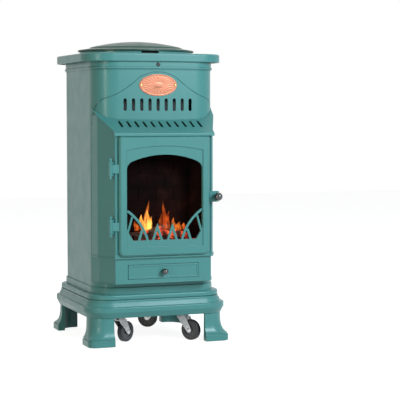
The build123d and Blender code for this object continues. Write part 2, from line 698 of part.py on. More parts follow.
# --- door: one casting with a bevelled frame, an arched window and a fret ----------
with BuildPart() as door:
    with BuildSketch(Plane.XZ.offset(door_back)) as leaf:
        with Locations((0, door_z + door_height / 2)):
            Rectangle(door_width, door_height)
        fillet(leaf.vertices().group_by(Axis.Y)[0], 14)
        fillet(leaf.vertices().group_by(Axis.Y)[-1], 6)
    extrude(amount=door_thickness)
    front_edges = door.faces().sort_by(Axis.Y)[0].edges()
    chamfer(front_edges, door_bevel)
    with BuildSketch(Plane.XZ.offset(door_front)):
        arched_outline(window_width + 3, door_z + recess_sill, door_top - recess_shoulder, door_top - recess_crown)
    extrude(amount=-recess_depth, mode=Mode.SUBTRACT)
    with BuildSketch(Plane.XZ.offset(door_front)) as window:
        half = window_width / 2
        foot = half - window_chamfer
        with BuildLine() as pane:
            ThreePointArc((-half, window_side_z), (0, window_top_z), (half, window_side_z))
            Polyline((half, window_side_z), (half, window_z + 1.8 * window_chamfer), (half - 3, window_z + 22),
                     (foot, window_z), (-foot, window_z), (3 - half, window_z + 22),
                     (-half, window_z + 1.8 * window_chamfer), (-half, window_side_z))
        make_face()
        upper = window.vertices().sort_by(Axis.Y)[-2:]
        fillet(upper, window_corner)
    extrude(amount=-door_thickness, mode=Mode.SUBTRACT)
    with BuildSketch(Plane.XZ.offset(door_front - recess_depth - 0.8)) as fret:
        with BuildLine():
            for side in (1, -1):
                ThreePointArc(*[(side * x, door_z + z) for x, z in outer_bar])
        trace(line_width=fret_bar)
        with BuildLine():
            for side in (1, -1):
                Line(*[(side * x, door_z + z) for x, z in side_strut])
        trace(line_width=fret_bar - 1)
        with BuildLine():
            for side in (1, -1):
                Line(*[(side * x, door_z + z) for x, z in short_strut])
        trace(line_width=fret_bar)
        for side in (1, -1):
            tip = side * spike_x
            with BuildLine() as spike:
                Polyline((tip - spike_half, window_z - 2.5), (tip, door_z + spike_rise), (tip + spike_half, window_z - 2.5))
            trace(line_width=fret_bar)
    extrude(amount=-fret_thickness)
keep(door, "door")

# --- door hinges: straps with barrels, fixed knuckles, pins with ball ends ---------
hinge_axis = (-hinge_x, -hinge_y)
barrel_half = strap_height / 2
knuckle_low = barrel_half + seat_gap
knuckle_high = knuckle_low + fixed_barrel
strap_mid = -(hinge_x + door_width / 2) / 2
with BuildPart() as door_hinge_straps:
    for z in hinge_heights:
        with BuildSketch(Plane.XY.offset(z - barrel_half)):
            with Locations((strap_mid, -hinge_y)):
                Rectangle(hinge_x - door_width / 2, strap_thickness)
            with Locations(hinge_axis):
                Circle(barrel_radius)
                Circle(hinge_pin_radius + running_gap, mode=Mode.SUBTRACT)
        extrude(amount=strap_height)
keep(door_hinge_straps, "door_hinge_straps")

face_run = Vector(firebox_corner - firebox_shoulder, firebox_front - firebox_shoulder_front).normalized()
face_start = Vector(-firebox_corner, -firebox_front)
with BuildPart() as hinge_brackets:
    for z in hinge_heights:
        for low in (z + knuckle_low, z - knuckle_high):
            with BuildSketch(Plane.XY.offset(low)):
                near, middle, far = [face_start + face_run * step for step in (2, 8, 14)]
                Polygon((near.X, near.Y), (far.X, far.Y), (middle.X - 2, middle.Y - 0.5), align=None)
                with Locations(hinge_axis):
                    Circle(barrel_radius)
                make_hull()
                with Locations(hinge_axis):
                    Circle(hinge_pin_radius + running_gap, mode=Mode.SUBTRACT)
            extrude(amount=fixed_barrel)
keep(hinge_brackets, "hinge_brackets")

with BuildPart() as hinge_pins:
    for z in hinge_heights:
        with BuildSketch(Plane.XY.offset(z - knuckle_high - 2)):
            with Locations(hinge_axis):
                Circle(hinge_pin_radius)
        extrude(amount=2 * (knuckle_high + 2))
        for side in (1, -1):
            with BuildSketch(Plane.XY.offset(z + side * knuckle_high)):
                with Locations(hinge_axis):
                    Circle(hinge_pin_radius + 1)
            extrude(amount=side * 2)
            with Locations((*hinge_axis, z + side * (knuckle_high + 1.2 + finial_radius * 0.9))):
                Sphere(finial_radius)
keep(hinge_pins, "hinge_pins")

with BuildPart() as door_lug:
    with BuildSketch(Plane.XZ.offset(hinge_y - strap_thickness / 2)):
        with Locations((door_knob_x - 4, door_knob_z)):
            RectangleRounded(27, 2 * lug_radius, 5)
        with Locations((door_width / 2 + 4, door_knob_z)):
            Rectangle(8, 2 * lug_radius - 2)
        with Locations((door_width / 2 - 10, door_knob_z)):
            Rectangle(20, 3 * lug_radius, mode=Mode.SUBTRACT)
    extrude(amount=strap_thickness)
keep(door_lug, "door_lug")

lug_front = hinge_y + strap_thickness / 2
door_knob_stem = plinth_back - lug_front - 1.97 * door_knob_radius
door_knob = ball_knob((door_knob_x, lug_front, door_knob_z), door_knob_radius, door_knob_stem, 4.0)
keep(door_knob, "door_knob")

# --- firebox interior --------------------------------------------------------------
liner_front = firebox_front - firebox_wall - seat_gap
liner_back_half = liner_half - 18
liner_z = door_z + 5
liner_top = hood_lip_z - liner_drop


# Trapezoid that narrows towards the back of the firebox, drawn in by inset.
def hearth_plan(inset, front, back_inset):
    back = liner_back + back_inset
    lean = (liner_half - liner_back_half) / (liner_front - liner_back)
    narrow = liner_back_half + lean * (back - liner_back) - inset
    wide = narrow + lean * (front - back)
    with BuildLine() as outline:
        Polyline((wide, -front), (narrow, -back), (-narrow, -back), (-wide, -front), close=True)
    make_face(outline.edges())


pipe_x = control_x
pipe_z = liner_z + 14
with BuildPart() as firebox_liner:
    with BuildSketch(Plane.XY.offset(liner_z)):
        hearth_plan(0, liner_front, 0)
    extrude(amount=liner_top - liner_z)
    with BuildSketch(Plane.XY.offset(liner_z + thin_sheet)):
        hearth_plan(thin_sheet, liner_front + 1, thin_sheet)
    extrude(amount=liner_top - liner_z - 2 * thin_sheet, mode=Mode.SUBTRACT)
    with BuildSketch(Plane.XY.offset(liner_top - 2 * thin_sheet)):
        with Locations((0, -(liner_front + liner_back) / 2)):
            with GridLocations(34, 0, 5, 1):
                SlotOverall(46, 12, rotation=90)
    extrude(amount=4 * thin_sheet, mode=Mode.SUBTRACT)
    with BuildSketch(Plane.XZ.offset(liner_back - 5)):
        with Locations((pipe_x, pipe_z)):
            Circle(pipe_radius + 1)
    extrude(amount=10, mode=Mode.SUBTRACT)
keep(firebox_liner, "firebox_liner")

brick_z = liner_z + thin_sheet + burner_height + 1
brick_top = liner_top - thin_sheet - 2
brick_clear = thin_sheet + seat_gap
course = 34.0
with BuildPart() as brick_lining:
    with BuildSketch(Plane.XY.offset(brick_z)):
        hearth_plan(brick_clear, liner_front - 6, brick_clear)
        hearth_back = brick_clear + brick_thickness
    extrude(amount=brick_top - brick_z)
    with BuildSketch(Plane.XY.offset(brick_z)):
        hearth_plan(hearth_back, liner_front + 1, hearth_back)
    extrude(amount=brick_top - brick_z, mode=Mode.SUBTRACT)
    rows = int((brick_top - brick_z) / course)
    for row in range(1, rows + 1):
        with BuildSketch(Plane.XY.offset(brick_z + row * course)):
            hearth_plan(hearth_back - 1.5, liner_front, hearth_back - 1.5)
        extrude(amount=2, mode=Mode.SUBTRACT)
    for row in range(rows + 1):
        shift = (row % 2) * 24
        with BuildSketch(Plane.XY.offset(brick_z + row * course + 2)):
            with Locations((shift, -liner_back - hearth_back)):
                with GridLocations(48, 0, 4, 1):
                    Rectangle(2, 3)
        extrude(amount=min(course - 2, brick_top - brick_z - row * course - 2), mode=Mode.SUBTRACT)
keep(brick_lining, "brick_lining")

burner_y = -(liner_back + 36)
burner_floor = liner_z + thin_sheet
burner_width = 2 * (liner_back_half - 14)
with BuildPart() as burner_tray:
    with BuildSketch(Plane.XY.offset(burner_floor)):
        with Locations((0, burner_y)):
            Rectangle(burner_width, burner_depth)
    extrude(amount=burner_height)
    with BuildSketch(Plane.XY.offset(burner_floor)):
        with Locations((0, burner_y)):
            Rectangle(burner_width - 2 * thin_sheet, burner_depth - 2 * thin_sheet)
    extrude(amount=burner_height - thin_sheet, mode=Mode.SUBTRACT)
    with BuildSketch(Plane.XY.offset(burner_floor + burner_height - thin_sheet)):
        with Locations((0, burner_y)):
            with GridLocations(22, 11, 8, 4):
                SlotOverall(14, 3)
    extrude(amount=thin_sheet, mode=Mode.SUBTRACT)
    with BuildSketch(Plane.XZ.offset(-burner_y - burner_depth / 2 - 5)):
        with Locations((pipe_x, pipe_z)):
            Circle(pipe_radius + 1)
    extrude(amount=10, mode=Mode.SUBTRACT)
keep(burner_tray, "burner_tray")

tube_radius = 8.0
with BuildPart() as burner_tube:
    with BuildSketch(Plane.YZ.offset(-burner_width / 2 + 6)):
        with Locations((burner_y, pipe_z)):
            Circle(tube_radius)
    extrude(amount=burner_width - 12)
    with BuildSketch(Plane.XY.offset(pipe_z)):
        with Locations((0, burner_y)):
            with GridLocations(11, 0, 15, 1):
                SlotOverall(9, 1.6, rotation=90)
    extrude(amount=tube_radius + 1, mode=Mode.SUBTRACT)
keep(burner_tube, "burner_tube")


# Tapered ceramic log between two points, with a cut branch stub.
def log_between(start, end, radius, stub):
    run = Vector(*end) - Vector(*start)
    with BuildPart() as log:
        with BuildSketch(Plane(origin=start, z_dir=run)):
            Ellipse(radius, radius * 0.86)
        with BuildSketch(Plane(origin=Vector(*start) + run * 0.55, z_dir=run)):
            Ellipse(radius * 0.94, radius * 0.97, rotation=30)
        with BuildSketch(Plane(origin=end, z_dir=run)):
            Ellipse(radius * 0.8, radius * 0.7)
        loft()
        chamfer(log.edges().group_by(Axis.X)[0], 1.5)
        with BuildSketch(Plane(origin=Vector(*start) + run * stub, z_dir=(0.35, -0.45, 0.8))):
            Circle(radius * 0.42)
        extrude(amount=radius * 1.45, taper=6)
    return log.part


bed_z = burner_floor + burner_height
with BuildPart() as logs:
    add(log_between((-80, burner_y + 10, bed_z + 13), (78, burner_y + 14, bed_z + 11), log_radius, 0.3))
    add(log_between((-74, burner_y - 6, bed_z + 9.5), (60, burner_y - 9, bed_z + 11), log_radius * 0.72, 0.7))
    add(log_between((-52, burner_y - 8, bed_z + 17), (24, burner_y + 8, bed_z + 40), log_radius * 0.66, 0.35))
    add(log_between((-8, burner_y - 8, bed_z + 25), (70, burner_y + 3, bed_z + 18), log_radius * 0.6, 0.6))
    split(bisect_by=Plane.XY.offset(bed_z + 0.1))
keep(logs, "logs")

coal_spots = ((-84, 0, 5.5), (-70, 3, 7), (-57, -1, 5.5), (-45, 2, 6.5), (-31, 0, 5.5), (-18, 3, 7), (-5, 0, 6))
coal_spots += ((8, 2, 5.5), (20, -1, 6.5), (33, 3, 6), (46, 0, 7), (60, 2, 5.5), (73, -1, 6.5), (85, 1, 5.5))
with BuildPart() as coals:
    coal_line = burner_y - burner_depth / 2 - 4.3
    with BuildSketch(Plane.XY.offset(liner_z + thin_sheet)):
        with Locations((0, coal_line)):
            Rectangle(2 * liner_back_half - 8, 8)
    extrude(amount=burner_height - 2)
    for index, (x, shift, half) in enumerate(coal_spots):
        spin = Location((x, coal_line + shift * 0.4, bed_z + 2.5), (25 + 37 * index, 50 * index, 20))
        with Locations(spin):
            Box(1.7 * half, 1.5 * half, 1.9 * half)
    with BuildSketch(Plane.YZ.offset(-liner_half)):
        with BuildLine():
            Polyline((coal_line + 4, liner_z), (coal_line + 4, bed_z + 0.1), (burner_y, bed_z + 0.1),
                     (burner_y, liner_z), close=True)
        make_face()
        with Locations((coal_line - 4.5 - 10, bed_z)):
            Rectangle(20, 100)
    extrude(amount=2 * liner_half, mode=Mode.SUBTRACT)
keep(coals, "coals")

with BuildPart() as pilot:
    pilot_x = -burner_width / 2 - 5.5
    with BuildSketch(Plane.XY.offset(liner_z + thin_sheet)):
        with Locations((pilot_x, burner_y + 4)):
            RectangleRounded(6, 16, 1)
    extrude(amount=2)
    with BuildSketch(Plane.XY.offset(liner_z + thin_sheet)):
        with Locations((pilot_x, burner_y + 8)):
            Circle(2.4)
        with Locations((pilot_x, burner_y)):
            Circle(1.6)
    extrude(amount=burner_height + 14)
keep(pilot, "pilot")

# --- heat shield between the firebox and the cylinder bay --------------------------
shield_half = bay_width / 2 - 12
shield_top = neck_z - 8
with BuildPart() as heat_shield:
    with BuildSketch(Plane.XY.offset(shell_z)):
        with Locations((0, -bay_front - thin_sheet / 2)):
            Rectangle(2 * shield_half, thin_sheet)
        for side in (1, -1):
            with Locations((side * (shield_half - thin_sheet / 2), 6 - bay_front - thin_sheet)):
                Rectangle(thin_sheet, 12)
            with Locations((side * shield_half * 0.45, -bay_front - thin_sheet)):
                Rectangle(5, 4)
    extrude(amount=shield_top - shell_z)
    with BuildSketch(Plane.XZ.offset(bay_front - 5)):
        with Locations((0, shield_top - 45)):
            with GridLocations(24, 0, 5, 1):
                SlotOverall(50, 7, rotation=90)
        with Locations((pipe_x, pipe_z)):
            Circle(pipe_radius + 1)
            with Locations((0, 5)):
                Rectangle(2 * pipe_radius + 2, 10)
    extrude(amount=12, mode=Mode.SUBTRACT)
keep(heat_shield, "heat_shield")

# --- neck ring with its bead, the deck's shelf and two rear tabs -------------------
tab_x = 84.0
tab_screw_z = neck_z - 14
with BuildPart() as neck_ring:
    with BuildSketch(Plane.XY.offset(neck_z)) as outer:
        cabinet_plan(outer, neck_reach, corner_radius)
    extrude(amount=neck_height)
    for low, high, share in ((2.2, 7.8, 0.5), (3.0, 7.0, 1.0)):
        with BuildSketch(Plane.XY.offset(neck_z + low)) as bead:
            cabinet_plan(bead, neck_reach + share * neck_bead, corner_radius)
        extrude(amount=high - low)
    with BuildSketch(Plane.XY.offset(neck_z)) as inner:
        cabinet_plan(inner, -neck_wall, corner_radius - neck_wall)
    extrude(amount=neck_height, mode=Mode.SUBTRACT)
    with BuildSketch(Plane.XY.offset(neck_z)) as step:
        cabinet_plan(step, -neck_wall + 0.5, corner_radius - neck_wall)
        with BuildSketch(mode=Mode.PRIVATE) as deck_hole:
            cabinet_plan(deck_hole, -neck_wall - neck_shelf, corner_radius - neck_wall - neck_shelf)
        add(deck_hole.sketch, mode=Mode.SUBTRACT)
    extrude(amount=deck_z - sheet - neck_z)
    for side in (1, -1):
        with BuildSketch(Plane.XZ.offset(-(body_back - sheet - 0.5))):
            with Locations((side * tab_x, neck_z - 13)):
                Rectangle(26, 27)
            with Locations((side * tab_x, tab_screw_z)):
                Circle(3.5, mode=Mode.SUBTRACT)
        extrude(amount=2.5)
keep(neck_ring, "neck_ring")

# --- top rim: overhanging moulded frame with a raised, notched collar --------------
hole_radius = collar_radius - collar_wall
hole_depth = collar_depth - collar_wall
with BuildPart() as top_rim:
    with BuildSketch(Plane.XY.offset(rim_z)) as frame_plan:
        cabinet_plan(frame_plan, rim_reach, corner_radius + 8, rim_front_reach, rim_back_reach)
    extrude(amount=rim_height)
    fillet(top_rim.edges().group_by(Axis.Z)[-1], 4)
    fillet(top_rim.edges().group_by(Axis.Z)[0], 1.5)
    with BuildSketch(Plane.XY.offset(collar_z)):
        with Locations((0, collar_y)):
            Ellipse(collar_radius, collar_depth)
    extrude(amount=collar_height)
    with BuildSketch(Plane.XY.offset(rim_z)):
        with Locations((0, collar_y)):
            Ellipse(hole_radius, hole_depth)
    extrude(amount=rim_height + collar_height, mode=Mode.SUBTRACT)
    with BuildSketch(Plane.XY.offset(rim_z)) as skirt_space:
        skirt = rim_reach - 6
        cabinet_plan(skirt_space, skirt, corner_radius + 2, rim_front_reach - 6, rim_back_reach - 6)
        with BuildSketch(mode=Mode.PRIVATE) as band_plan:
            cabinet_plan(band_plan, 4, corner_radius)
        add(band_plan.sketch, mode=Mode.SUBTRACT)
    extrude(amount=rim_height - rim_plate, mode=Mode.SUBTRACT)
    with BuildSketch(Plane.XY.offset(rim_z)) as inner_space:
        cabinet_plan(inner_space, -neck_wall - 2, corner_radius - 8)
        with Locations((0, collar_y)):
            Ellipse(collar_radius, collar_depth, mode=Mode.SUBTRACT)
    extrude(amount=rim_height - rim_plate, mode=Mode.SUBTRACT)
    with BuildSketch(Plane.XZ.offset(collar_depth)):
        with Locations((0, collar_z + collar_height + 5)):
            RectangleRounded(notch_width, 2 * (notch_depth + 5), 3)
    extrude(amount=-collar_depth, mode=Mode.SUBTRACT)
keep(top_rim, "top_rim")

# --- lid: stepped flange and shallow dome ------------------------------------------
lid_radius = collar_radius + lid_overhang
lid_ratio = (collar_depth + lid_overhang) / lid_radius
dome_start = lid_edge + lid_flange_rise + lid_step
dome_top = lid_edge + lid_rise
with BuildPart() as lid:
    with BuildSketch(Plane.XZ):
        with BuildLine():
            Polyline((0, dome_top), (0, dome_top - lid_wall))
            ThreePointArc((0, dome_top - lid_wall), (lid_step_radius / 2, dome_top - lid_wall - 4.6),
                          (lid_step_radius - 2, dome_start - lid_wall - 1.5))
            Polyline((lid_step_radius - 2, dome_start - lid_wall - 1.5), (lid_radius - lid_wall, lid_edge - 1),
                     (lid_radius - lid_wall, 0), (lid_radius, 0), (lid_radius, lid_edge),
                     (lid_step_radius + 2.5, lid_edge + lid_flange_rise), (lid_step_radius, dome_start))
            ThreePointArc((lid_step_radius, dome_start), (lid_step_radius / 2, dome_top - 4.2), (0, dome_top))
        make_face()
    revolve(axis=Axis.Z)
    scale(by=(1, lid_ratio, 1))
    add(lid.part.moved(Location((0, collar_y, lid_z))), mode=Mode.REPLACE)
keep(lid, "lid")

lid_hinge_y = collar_y + lid_radius * lid_ratio + lid_hinge_back
lid_hinge_z = collar_z + lid_hinge_rise
with BuildPart() as lid_hinge_leaf:
    with BuildSketch(Plane.YZ.offset(-lid_leaf / 2)):
        with Locations((lid_hinge_y, lid_hinge_z)):
            Circle(lid_barrel)
        with Locations((lid_hinge_y - lid_hinge_back - 1, lid_z + lid_edge / 2)):
            Rectangle(6, lid_edge - 0.6)
        make_hull()
        with Locations((lid_hinge_y, lid_hinge_z)):
            Circle(lid_pin_radius + running_gap, mode=Mode.SUBTRACT)
    extrude(amount=lid_leaf)
    with BuildSketch(Plane.XY.offset(collar_z)):
        with Locations((0, collar_y)):
            Ellipse(lid_radius, lid_radius * lid_ratio)
    extrude(amount=2 * lid_rise, mode=Mode.SUBTRACT)
keep(lid_hinge_leaf, "lid_hinge_leaf")

with BuildPart() as lid_hinge_base:
    for side in (1, -1):
        start = side * (lid_leaf / 2 + seat_gap)
        with BuildSketch(Plane.YZ.offset(start)):
            with Locations((lid_hinge_y, lid_hinge_z)):
                Circle(lid_barrel)
            with Locations((lid_hinge_y + 2, collar_z + 0.8)):
                Rectangle(14, 1.6)
            make_hull()
        extrude(amount=side * lid_knuckle)
    with BuildSketch(Plane.YZ.offset(-lid_leaf / 2 - 2)):
        with Locations((lid_hinge_y, lid_hinge_z)):
            Circle(lid_pin_radius)
    extrude(amount=lid_leaf + 4)
keep(lid_hinge_base, "lid_hinge_base")

# --- control deck, knob, igniter and gas parts -------------------------------------
with BuildPart() as control_deck:
    with BuildSketch(Plane.XY.offset(deck_z - sheet)) as deck_plan:
        cabinet_plan(deck_plan, -neck_wall - seat_gap, corner_radius - neck_wall)
        with Locations((control_x, control_y)):
            Circle(spindle_radius + 0.5, mode=Mode.SUBTRACT)
        with Locations((igniter_x, control_y)):
            Circle(igniter_radius + 0.5, mode=Mode.SUBTRACT)
        with Locations((0, collar_y + 60)):
            with GridLocations(14, 0, 9, 1):
                SlotOverall(44, 5, rotation=90, mode=Mode.SUBTRACT)
    extrude(amount=sheet)
keep(control_deck, "control_deck")

with BuildPart() as control_knob:
    with BuildSketch(Plane.XY.offset(deck_z + 0.6)):
        with Locations((control_x, control_y)):
            Circle(control_knob_radius)
    extrude(amount=control_knob_height * 0.42, taper=6)
    with BuildSketch(Plane.XY.offset(deck_z + 0.6)):
        with Locations((control_x, control_y)):
            RectangleRounded(2 * control_knob_radius - 7, 11, 4)
    extrude(amount=control_knob_height - 0.6)
    fillet(control_knob.edges().group_by(Axis.Z)[-1], 1.8)
    with BuildSketch(Plane.XY.offset(deck_z)):
        with Locations((control_x, control_y)):
            Circle(spindle_radius + running_gap)
    extrude(amount=control_knob_height * 0.7, mode=Mode.SUBTRACT)
keep(control_knob, "control_knob")

cup_depth = 16.0
with BuildPart() as igniter_bezel:
    with BuildSketch(Plane.XY.offset(deck_z)):
        with Locations((igniter_x, control_y)):
            Circle(igniter_radius + 3.5)
            Circle(igniter_radius + seat_gap, mode=Mode.SUBTRACT)
    extrude(amount=3)
    fillet(igniter_bezel.edges().group_by(Axis.Z)[-1], 1)
    with BuildSketch(Plane.XY.offset(deck_z - sheet - cup_depth)):
        with Locations((igniter_x, control_y)):
            Circle(igniter_radius + 2)
    extrude(amount=cup_depth)
    with BuildSketch(Plane.XY.offset(deck_z - sheet - cup_depth + 2)):
        with Locations((igniter_x, control_y)):
            Circle(igniter_radius + seat_gap)
    extrude(amount=cup_depth - 2, mode=Mode.SUBTRACT)
keep(igniter_bezel, "igniter_bezel")

with BuildPart() as igniter_button:
    with BuildSketch(Plane.XY.offset(deck_z - 5)):
        with Locations((igniter_x, control_y)):
            Circle(igniter_radius)
    extrude(amount=5 + igniter_height)
    fillet(igniter_button.edges().group_by(Axis.Z)[-1], 1.5)
keep(igniter_button, "igniter_button")

valve_width, valve_depth, valve_height = valve_size
valve_top = deck_z - sheet
valve_mid = valve_top - valve_height / 2
with BuildPart() as gas_valve:
    with BuildSketch(Plane.XY.offset(valve_top - valve_height)):
        with Locations((control_x, control_y)):
            RectangleRounded(valve_width, valve_depth, 6)
    extrude(amount=valve_height)
    fillet(gas_valve.edges().group_by(Axis.Z)[0], 2)
    with BuildSketch(Plane.XY.offset(valve_top)):
        with Locations((control_x, control_y)):
            Circle(spindle_radius)
    extrude(amount=sheet + control_knob_height * 0.6)
keep(gas_valve, "gas_valve")

valve_front = -control_y + valve_depth / 2
pipe_y = pipe_radius + 1.5 - bay_front
tube_back = burner_y + tube_radius
with BuildPart() as supply_pipe:
    with BuildLine() as route:
        FilletPolyline((pipe_x, -valve_front, valve_mid), (pipe_x, pipe_y, valve_mid), (pipe_x, pipe_y, pipe_z),
                       (pipe_x, tube_back, pipe_z), radius=9)
    with BuildSketch(Plane(origin=(pipe_x, -valve_front, valve_mid), z_dir=(0, -1, 0))):
        Circle(pipe_radius)
    sweep(path=route.line)
    with BuildSketch(Plane(origin=(pipe_x, -valve_front, valve_mid), z_dir=(0, -1, 0))):
        RegularPolygon(7, 6)
    extrude(amount=8)
keep(supply_pipe, "supply_pipe")

valve_rear = control_y + valve_depth / 2
with BuildPart() as inlet_fitting:
    with BuildSketch(Plane(origin=(control_x, valve_rear, valve_mid), z_dir=(0, 1, 0))):
        RegularPolygon(10, 6)
    extrude(amount=8)
    with BuildSketch(Plane(origin=(control_x, valve_rear + 8, valve_mid), z_dir=(0, 1, 0))):
        Circle(inlet_radius)
    extrude(amount=inlet_length)
    chamfer(inlet_fitting.edges().group_by(Axis.Y)[-1], 1)
    with BuildSketch(Plane(origin=(control_x, valve_rear + 4, valve_mid), z_dir=(0, 1, 0))):
        Circle(3.2)
    extrude(amount=inlet_length + 8, mode=Mode.SUBTRACT)
keep(inlet_fitting, "inlet_fitting")

# --- badge that follows the bowed fascia, its rivets and the neck screw ------------
with BuildPart() as badge:
    with BuildSketch(Plane.XY.offset(badge_z - badge_height)) as badge_skin:
        cabinet_plan(badge_skin, badge_thickness, corner_radius)
        with BuildSketch(mode=Mode.PRIVATE) as fascia_face:
            cabinet_plan(fascia_face, 0, corner_radius)
        add(fascia_face.sketch, mode=Mode.SUBTRACT)
    extrude(amount=2 * badge_height)
    with BuildSketch(Plane.XZ.offset(2 * body_front)):
        with Locations((0, badge_z)):
            Ellipse(badge_width / 2, badge_height / 2)
    extrude(amount=-body_front * 1.5, mode=Mode.INTERSECT)
keep(badge, "badge")

bow_radius = (half_body ** 2 + front_bow ** 2) / (2 * front_bow)
bow_sag = bow_radius - (bow_radius ** 2 - (badge_rivet_span / 2 - rivet_radius) ** 2) ** 0.5
rivet_seat = body_front + badge_thickness - bow_sag
with BuildPart() as badge_rivets:
    with BuildSketch(Plane.XZ.offset(rivet_seat)):
        with Locations((badge_rivet_span / 2, badge_z), (-badge_rivet_span / 2, badge_z)):
            Circle(rivet_radius)
    extrude(amount=1.6)
    fillet(badge_rivets.edges().group_by(Axis.Y)[0], 1.0)
keep(badge_rivets, "badge_rivets")

with BuildPart() as neck_screw:
    with BuildSketch(Plane.XZ.offset(body_front + neck_reach)):
        with Locations((0, neck_z + 13.6)):
            Circle(5)
    extrude(amount=2.6)
    fillet(neck_screw.edges().group_by(Axis.Y)[0], 1.8)
    with BuildSketch(Plane.XZ.offset(body_front + neck_reach + 1.4)):
        with Locations((0, neck_z + 13.6)):
            Rectangle(6, 1.2)
            Rectangle(1.2, 6)
    extrude(amount=3, mode=Mode.SUBTRACT)
keep(neck_screw, "neck_screw")

# --- rear cover that lifts off for the cylinder, with two thumb screws -------------
cover_z = shell_z + seat_gap
screw_spots = ((tab_x, tab_screw_z), (-tab_x, tab_screw_z))
with BuildPart() as rear_cover:
    for low, high, half in ((cover_z, neck_z - seam, body_width), (cover_skirt_z, cover_z, bay_width / 2 - 2)):
        with BuildSketch(Plane.XY.offset(low)) as cover_wrap:
            cabinet_plan(cover_wrap, 0, corner_radius)
            offset(amount=-sheet, mode=Mode.SUBTRACT)
            with Locations((0, cover_split + 1 + body_back / 2)):
                Rectangle(2 * half, body_back, mode=Mode.INTERSECT)
        extrude(amount=high - low)
    with BuildSketch(Plane.XZ.offset(-body_back - 1)):
        for low in (shell_z + 60, neck_z - 110):
            with Locations((0, low + 30)):
                with GridLocations(60, 15, 3, 5):
                    SlotOverall(louvre_length, louvre_width)
        with Locations(*screw_spots):
            Circle(screw_radius + seat_gap)
    extrude(amount=sheet + 2, mode=Mode.SUBTRACT)
keep(rear_cover, "rear_cover")

with BuildPart() as cover_screws:
    with BuildSketch(Plane.XZ.offset(-body_back)):
        with Locations(*screw_spots):
            RegularPolygon(thumb_screw_radius, 12)
    extrude(amount=-7)
    chamfer(cover_screws.edges().group_by(Axis.Y)[-1], 1)
    with BuildSketch(Plane.XZ.offset(-body_back)):
        with Locations(*screw_spots):
            Circle(screw_radius)
    extrude(amount=12)
keep(cover_screws, "cover_screws")
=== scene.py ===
import bpy, bmesh, json
from math import cos, pi, radians, sin, sqrt
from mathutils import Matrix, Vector


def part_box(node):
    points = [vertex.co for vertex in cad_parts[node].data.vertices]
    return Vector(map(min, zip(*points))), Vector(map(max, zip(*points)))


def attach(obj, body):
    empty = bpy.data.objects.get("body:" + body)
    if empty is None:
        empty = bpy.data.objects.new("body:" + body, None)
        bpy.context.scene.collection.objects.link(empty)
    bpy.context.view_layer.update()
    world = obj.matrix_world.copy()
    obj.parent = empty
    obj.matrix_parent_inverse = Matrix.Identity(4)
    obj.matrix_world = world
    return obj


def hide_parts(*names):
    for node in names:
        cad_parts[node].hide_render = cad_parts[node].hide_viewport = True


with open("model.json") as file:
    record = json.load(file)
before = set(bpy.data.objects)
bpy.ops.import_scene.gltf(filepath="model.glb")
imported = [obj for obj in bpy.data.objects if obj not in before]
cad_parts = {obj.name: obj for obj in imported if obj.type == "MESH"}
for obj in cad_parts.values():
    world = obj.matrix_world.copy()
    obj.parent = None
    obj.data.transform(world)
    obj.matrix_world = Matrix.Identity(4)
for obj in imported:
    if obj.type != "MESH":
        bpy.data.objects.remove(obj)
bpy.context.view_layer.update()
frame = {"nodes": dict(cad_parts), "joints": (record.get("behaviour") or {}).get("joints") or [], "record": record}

nodes = frame["nodes"]
joints = {joint["name"]: joint for joint in frame["joints"]}
mm = 0.001
noiseRange = (0.3, 0.7)  # most of a noise texture's values lie between these


# finishes: each is mixed from noise on the object's own coordinates
def startFinish(name, look):
    finish = bpy.data.materials.new(name)
    finish.use_nodes = True
    tree = finish.node_tree
    shader = tree.nodes["Principled BSDF"]
    shader.inputs["Base Color"].default_value = (*look["colour"], 1)
    shader.inputs["Roughness"].default_value = look.get("roughness", 0.5)
    shader.inputs["Metallic"].default_value = look.get("metallic", 0.0)
    shader.inputs["Coat Weight"].default_value = look.get("coat", 0.0)
    shader.inputs["Coat Roughness"].default_value = look.get("coatRoughness", 0.1)
    shader.inputs["Specular IOR Level"].default_value = look.get("specular", 0.5)
    place = tree.nodes.new("ShaderNodeTexCoord")
    return finish, tree, shader, place.outputs["Object"]


def grain(tree, place, scale, detail=4.0, stretch=(1, 1, 1), distortion=0.0):
    mapping = tree.nodes.new("ShaderNodeMapping")
    mapping.inputs["Scale"].default_value = stretch
    noise = tree.nodes.new("ShaderNodeTexNoise")
    noise.inputs["Scale"].default_value = scale
    noise.inputs["Detail"].default_value = detail
    noise.inputs["Distortion"].default_value = distortion
    tree.links.new(place, mapping.inputs["Vector"])
    tree.links.new(mapping.outputs["Vector"], noise.inputs["Vector"])
    return noise.outputs["Fac"]


# colour ramp through stops of (position, colour)
def shades(tree, fac, stops):
    ramp = tree.nodes.new("ShaderNodeValToRGB")
    band = ramp.color_ramp
    for element, (spot, colour) in zip(band.elements, (stops[0], stops[-1])):
        element.position = spot
        element.color = (*colour, 1)
    for spot, colour in stops[1:-1]:
        band.elements.new(spot).color = (*colour, 1)
    tree.links.new(fac, ramp.inputs["Fac"])
    return ramp.outputs["Color"]


def tint(colour, factor):
    return tuple(min(1.0, max(0.0, part * factor)) for part in colour)


# one colour, a little darker and lighter by the noise
def toned(tree, fac, colour, tones, spots=noiseRange):
    return shades(tree, fac, [(spot, tint(colour, tone)) for spot, tone in zip(spots, tones)])


# a value carried from one range to another, and held at its ends
def remap(tree, value, fromRange, toRange):
    reach = tree.nodes.new("ShaderNodeMapRange")
    reach.inputs["From Min"].default_value, reach.inputs["From Max"].default_value = fromRange
    reach.inputs["To Min"].default_value, reach.inputs["To Max"].default_value = toRange
    tree.links.new(value, reach.inputs["Value"])
    return reach.outputs["Result"]


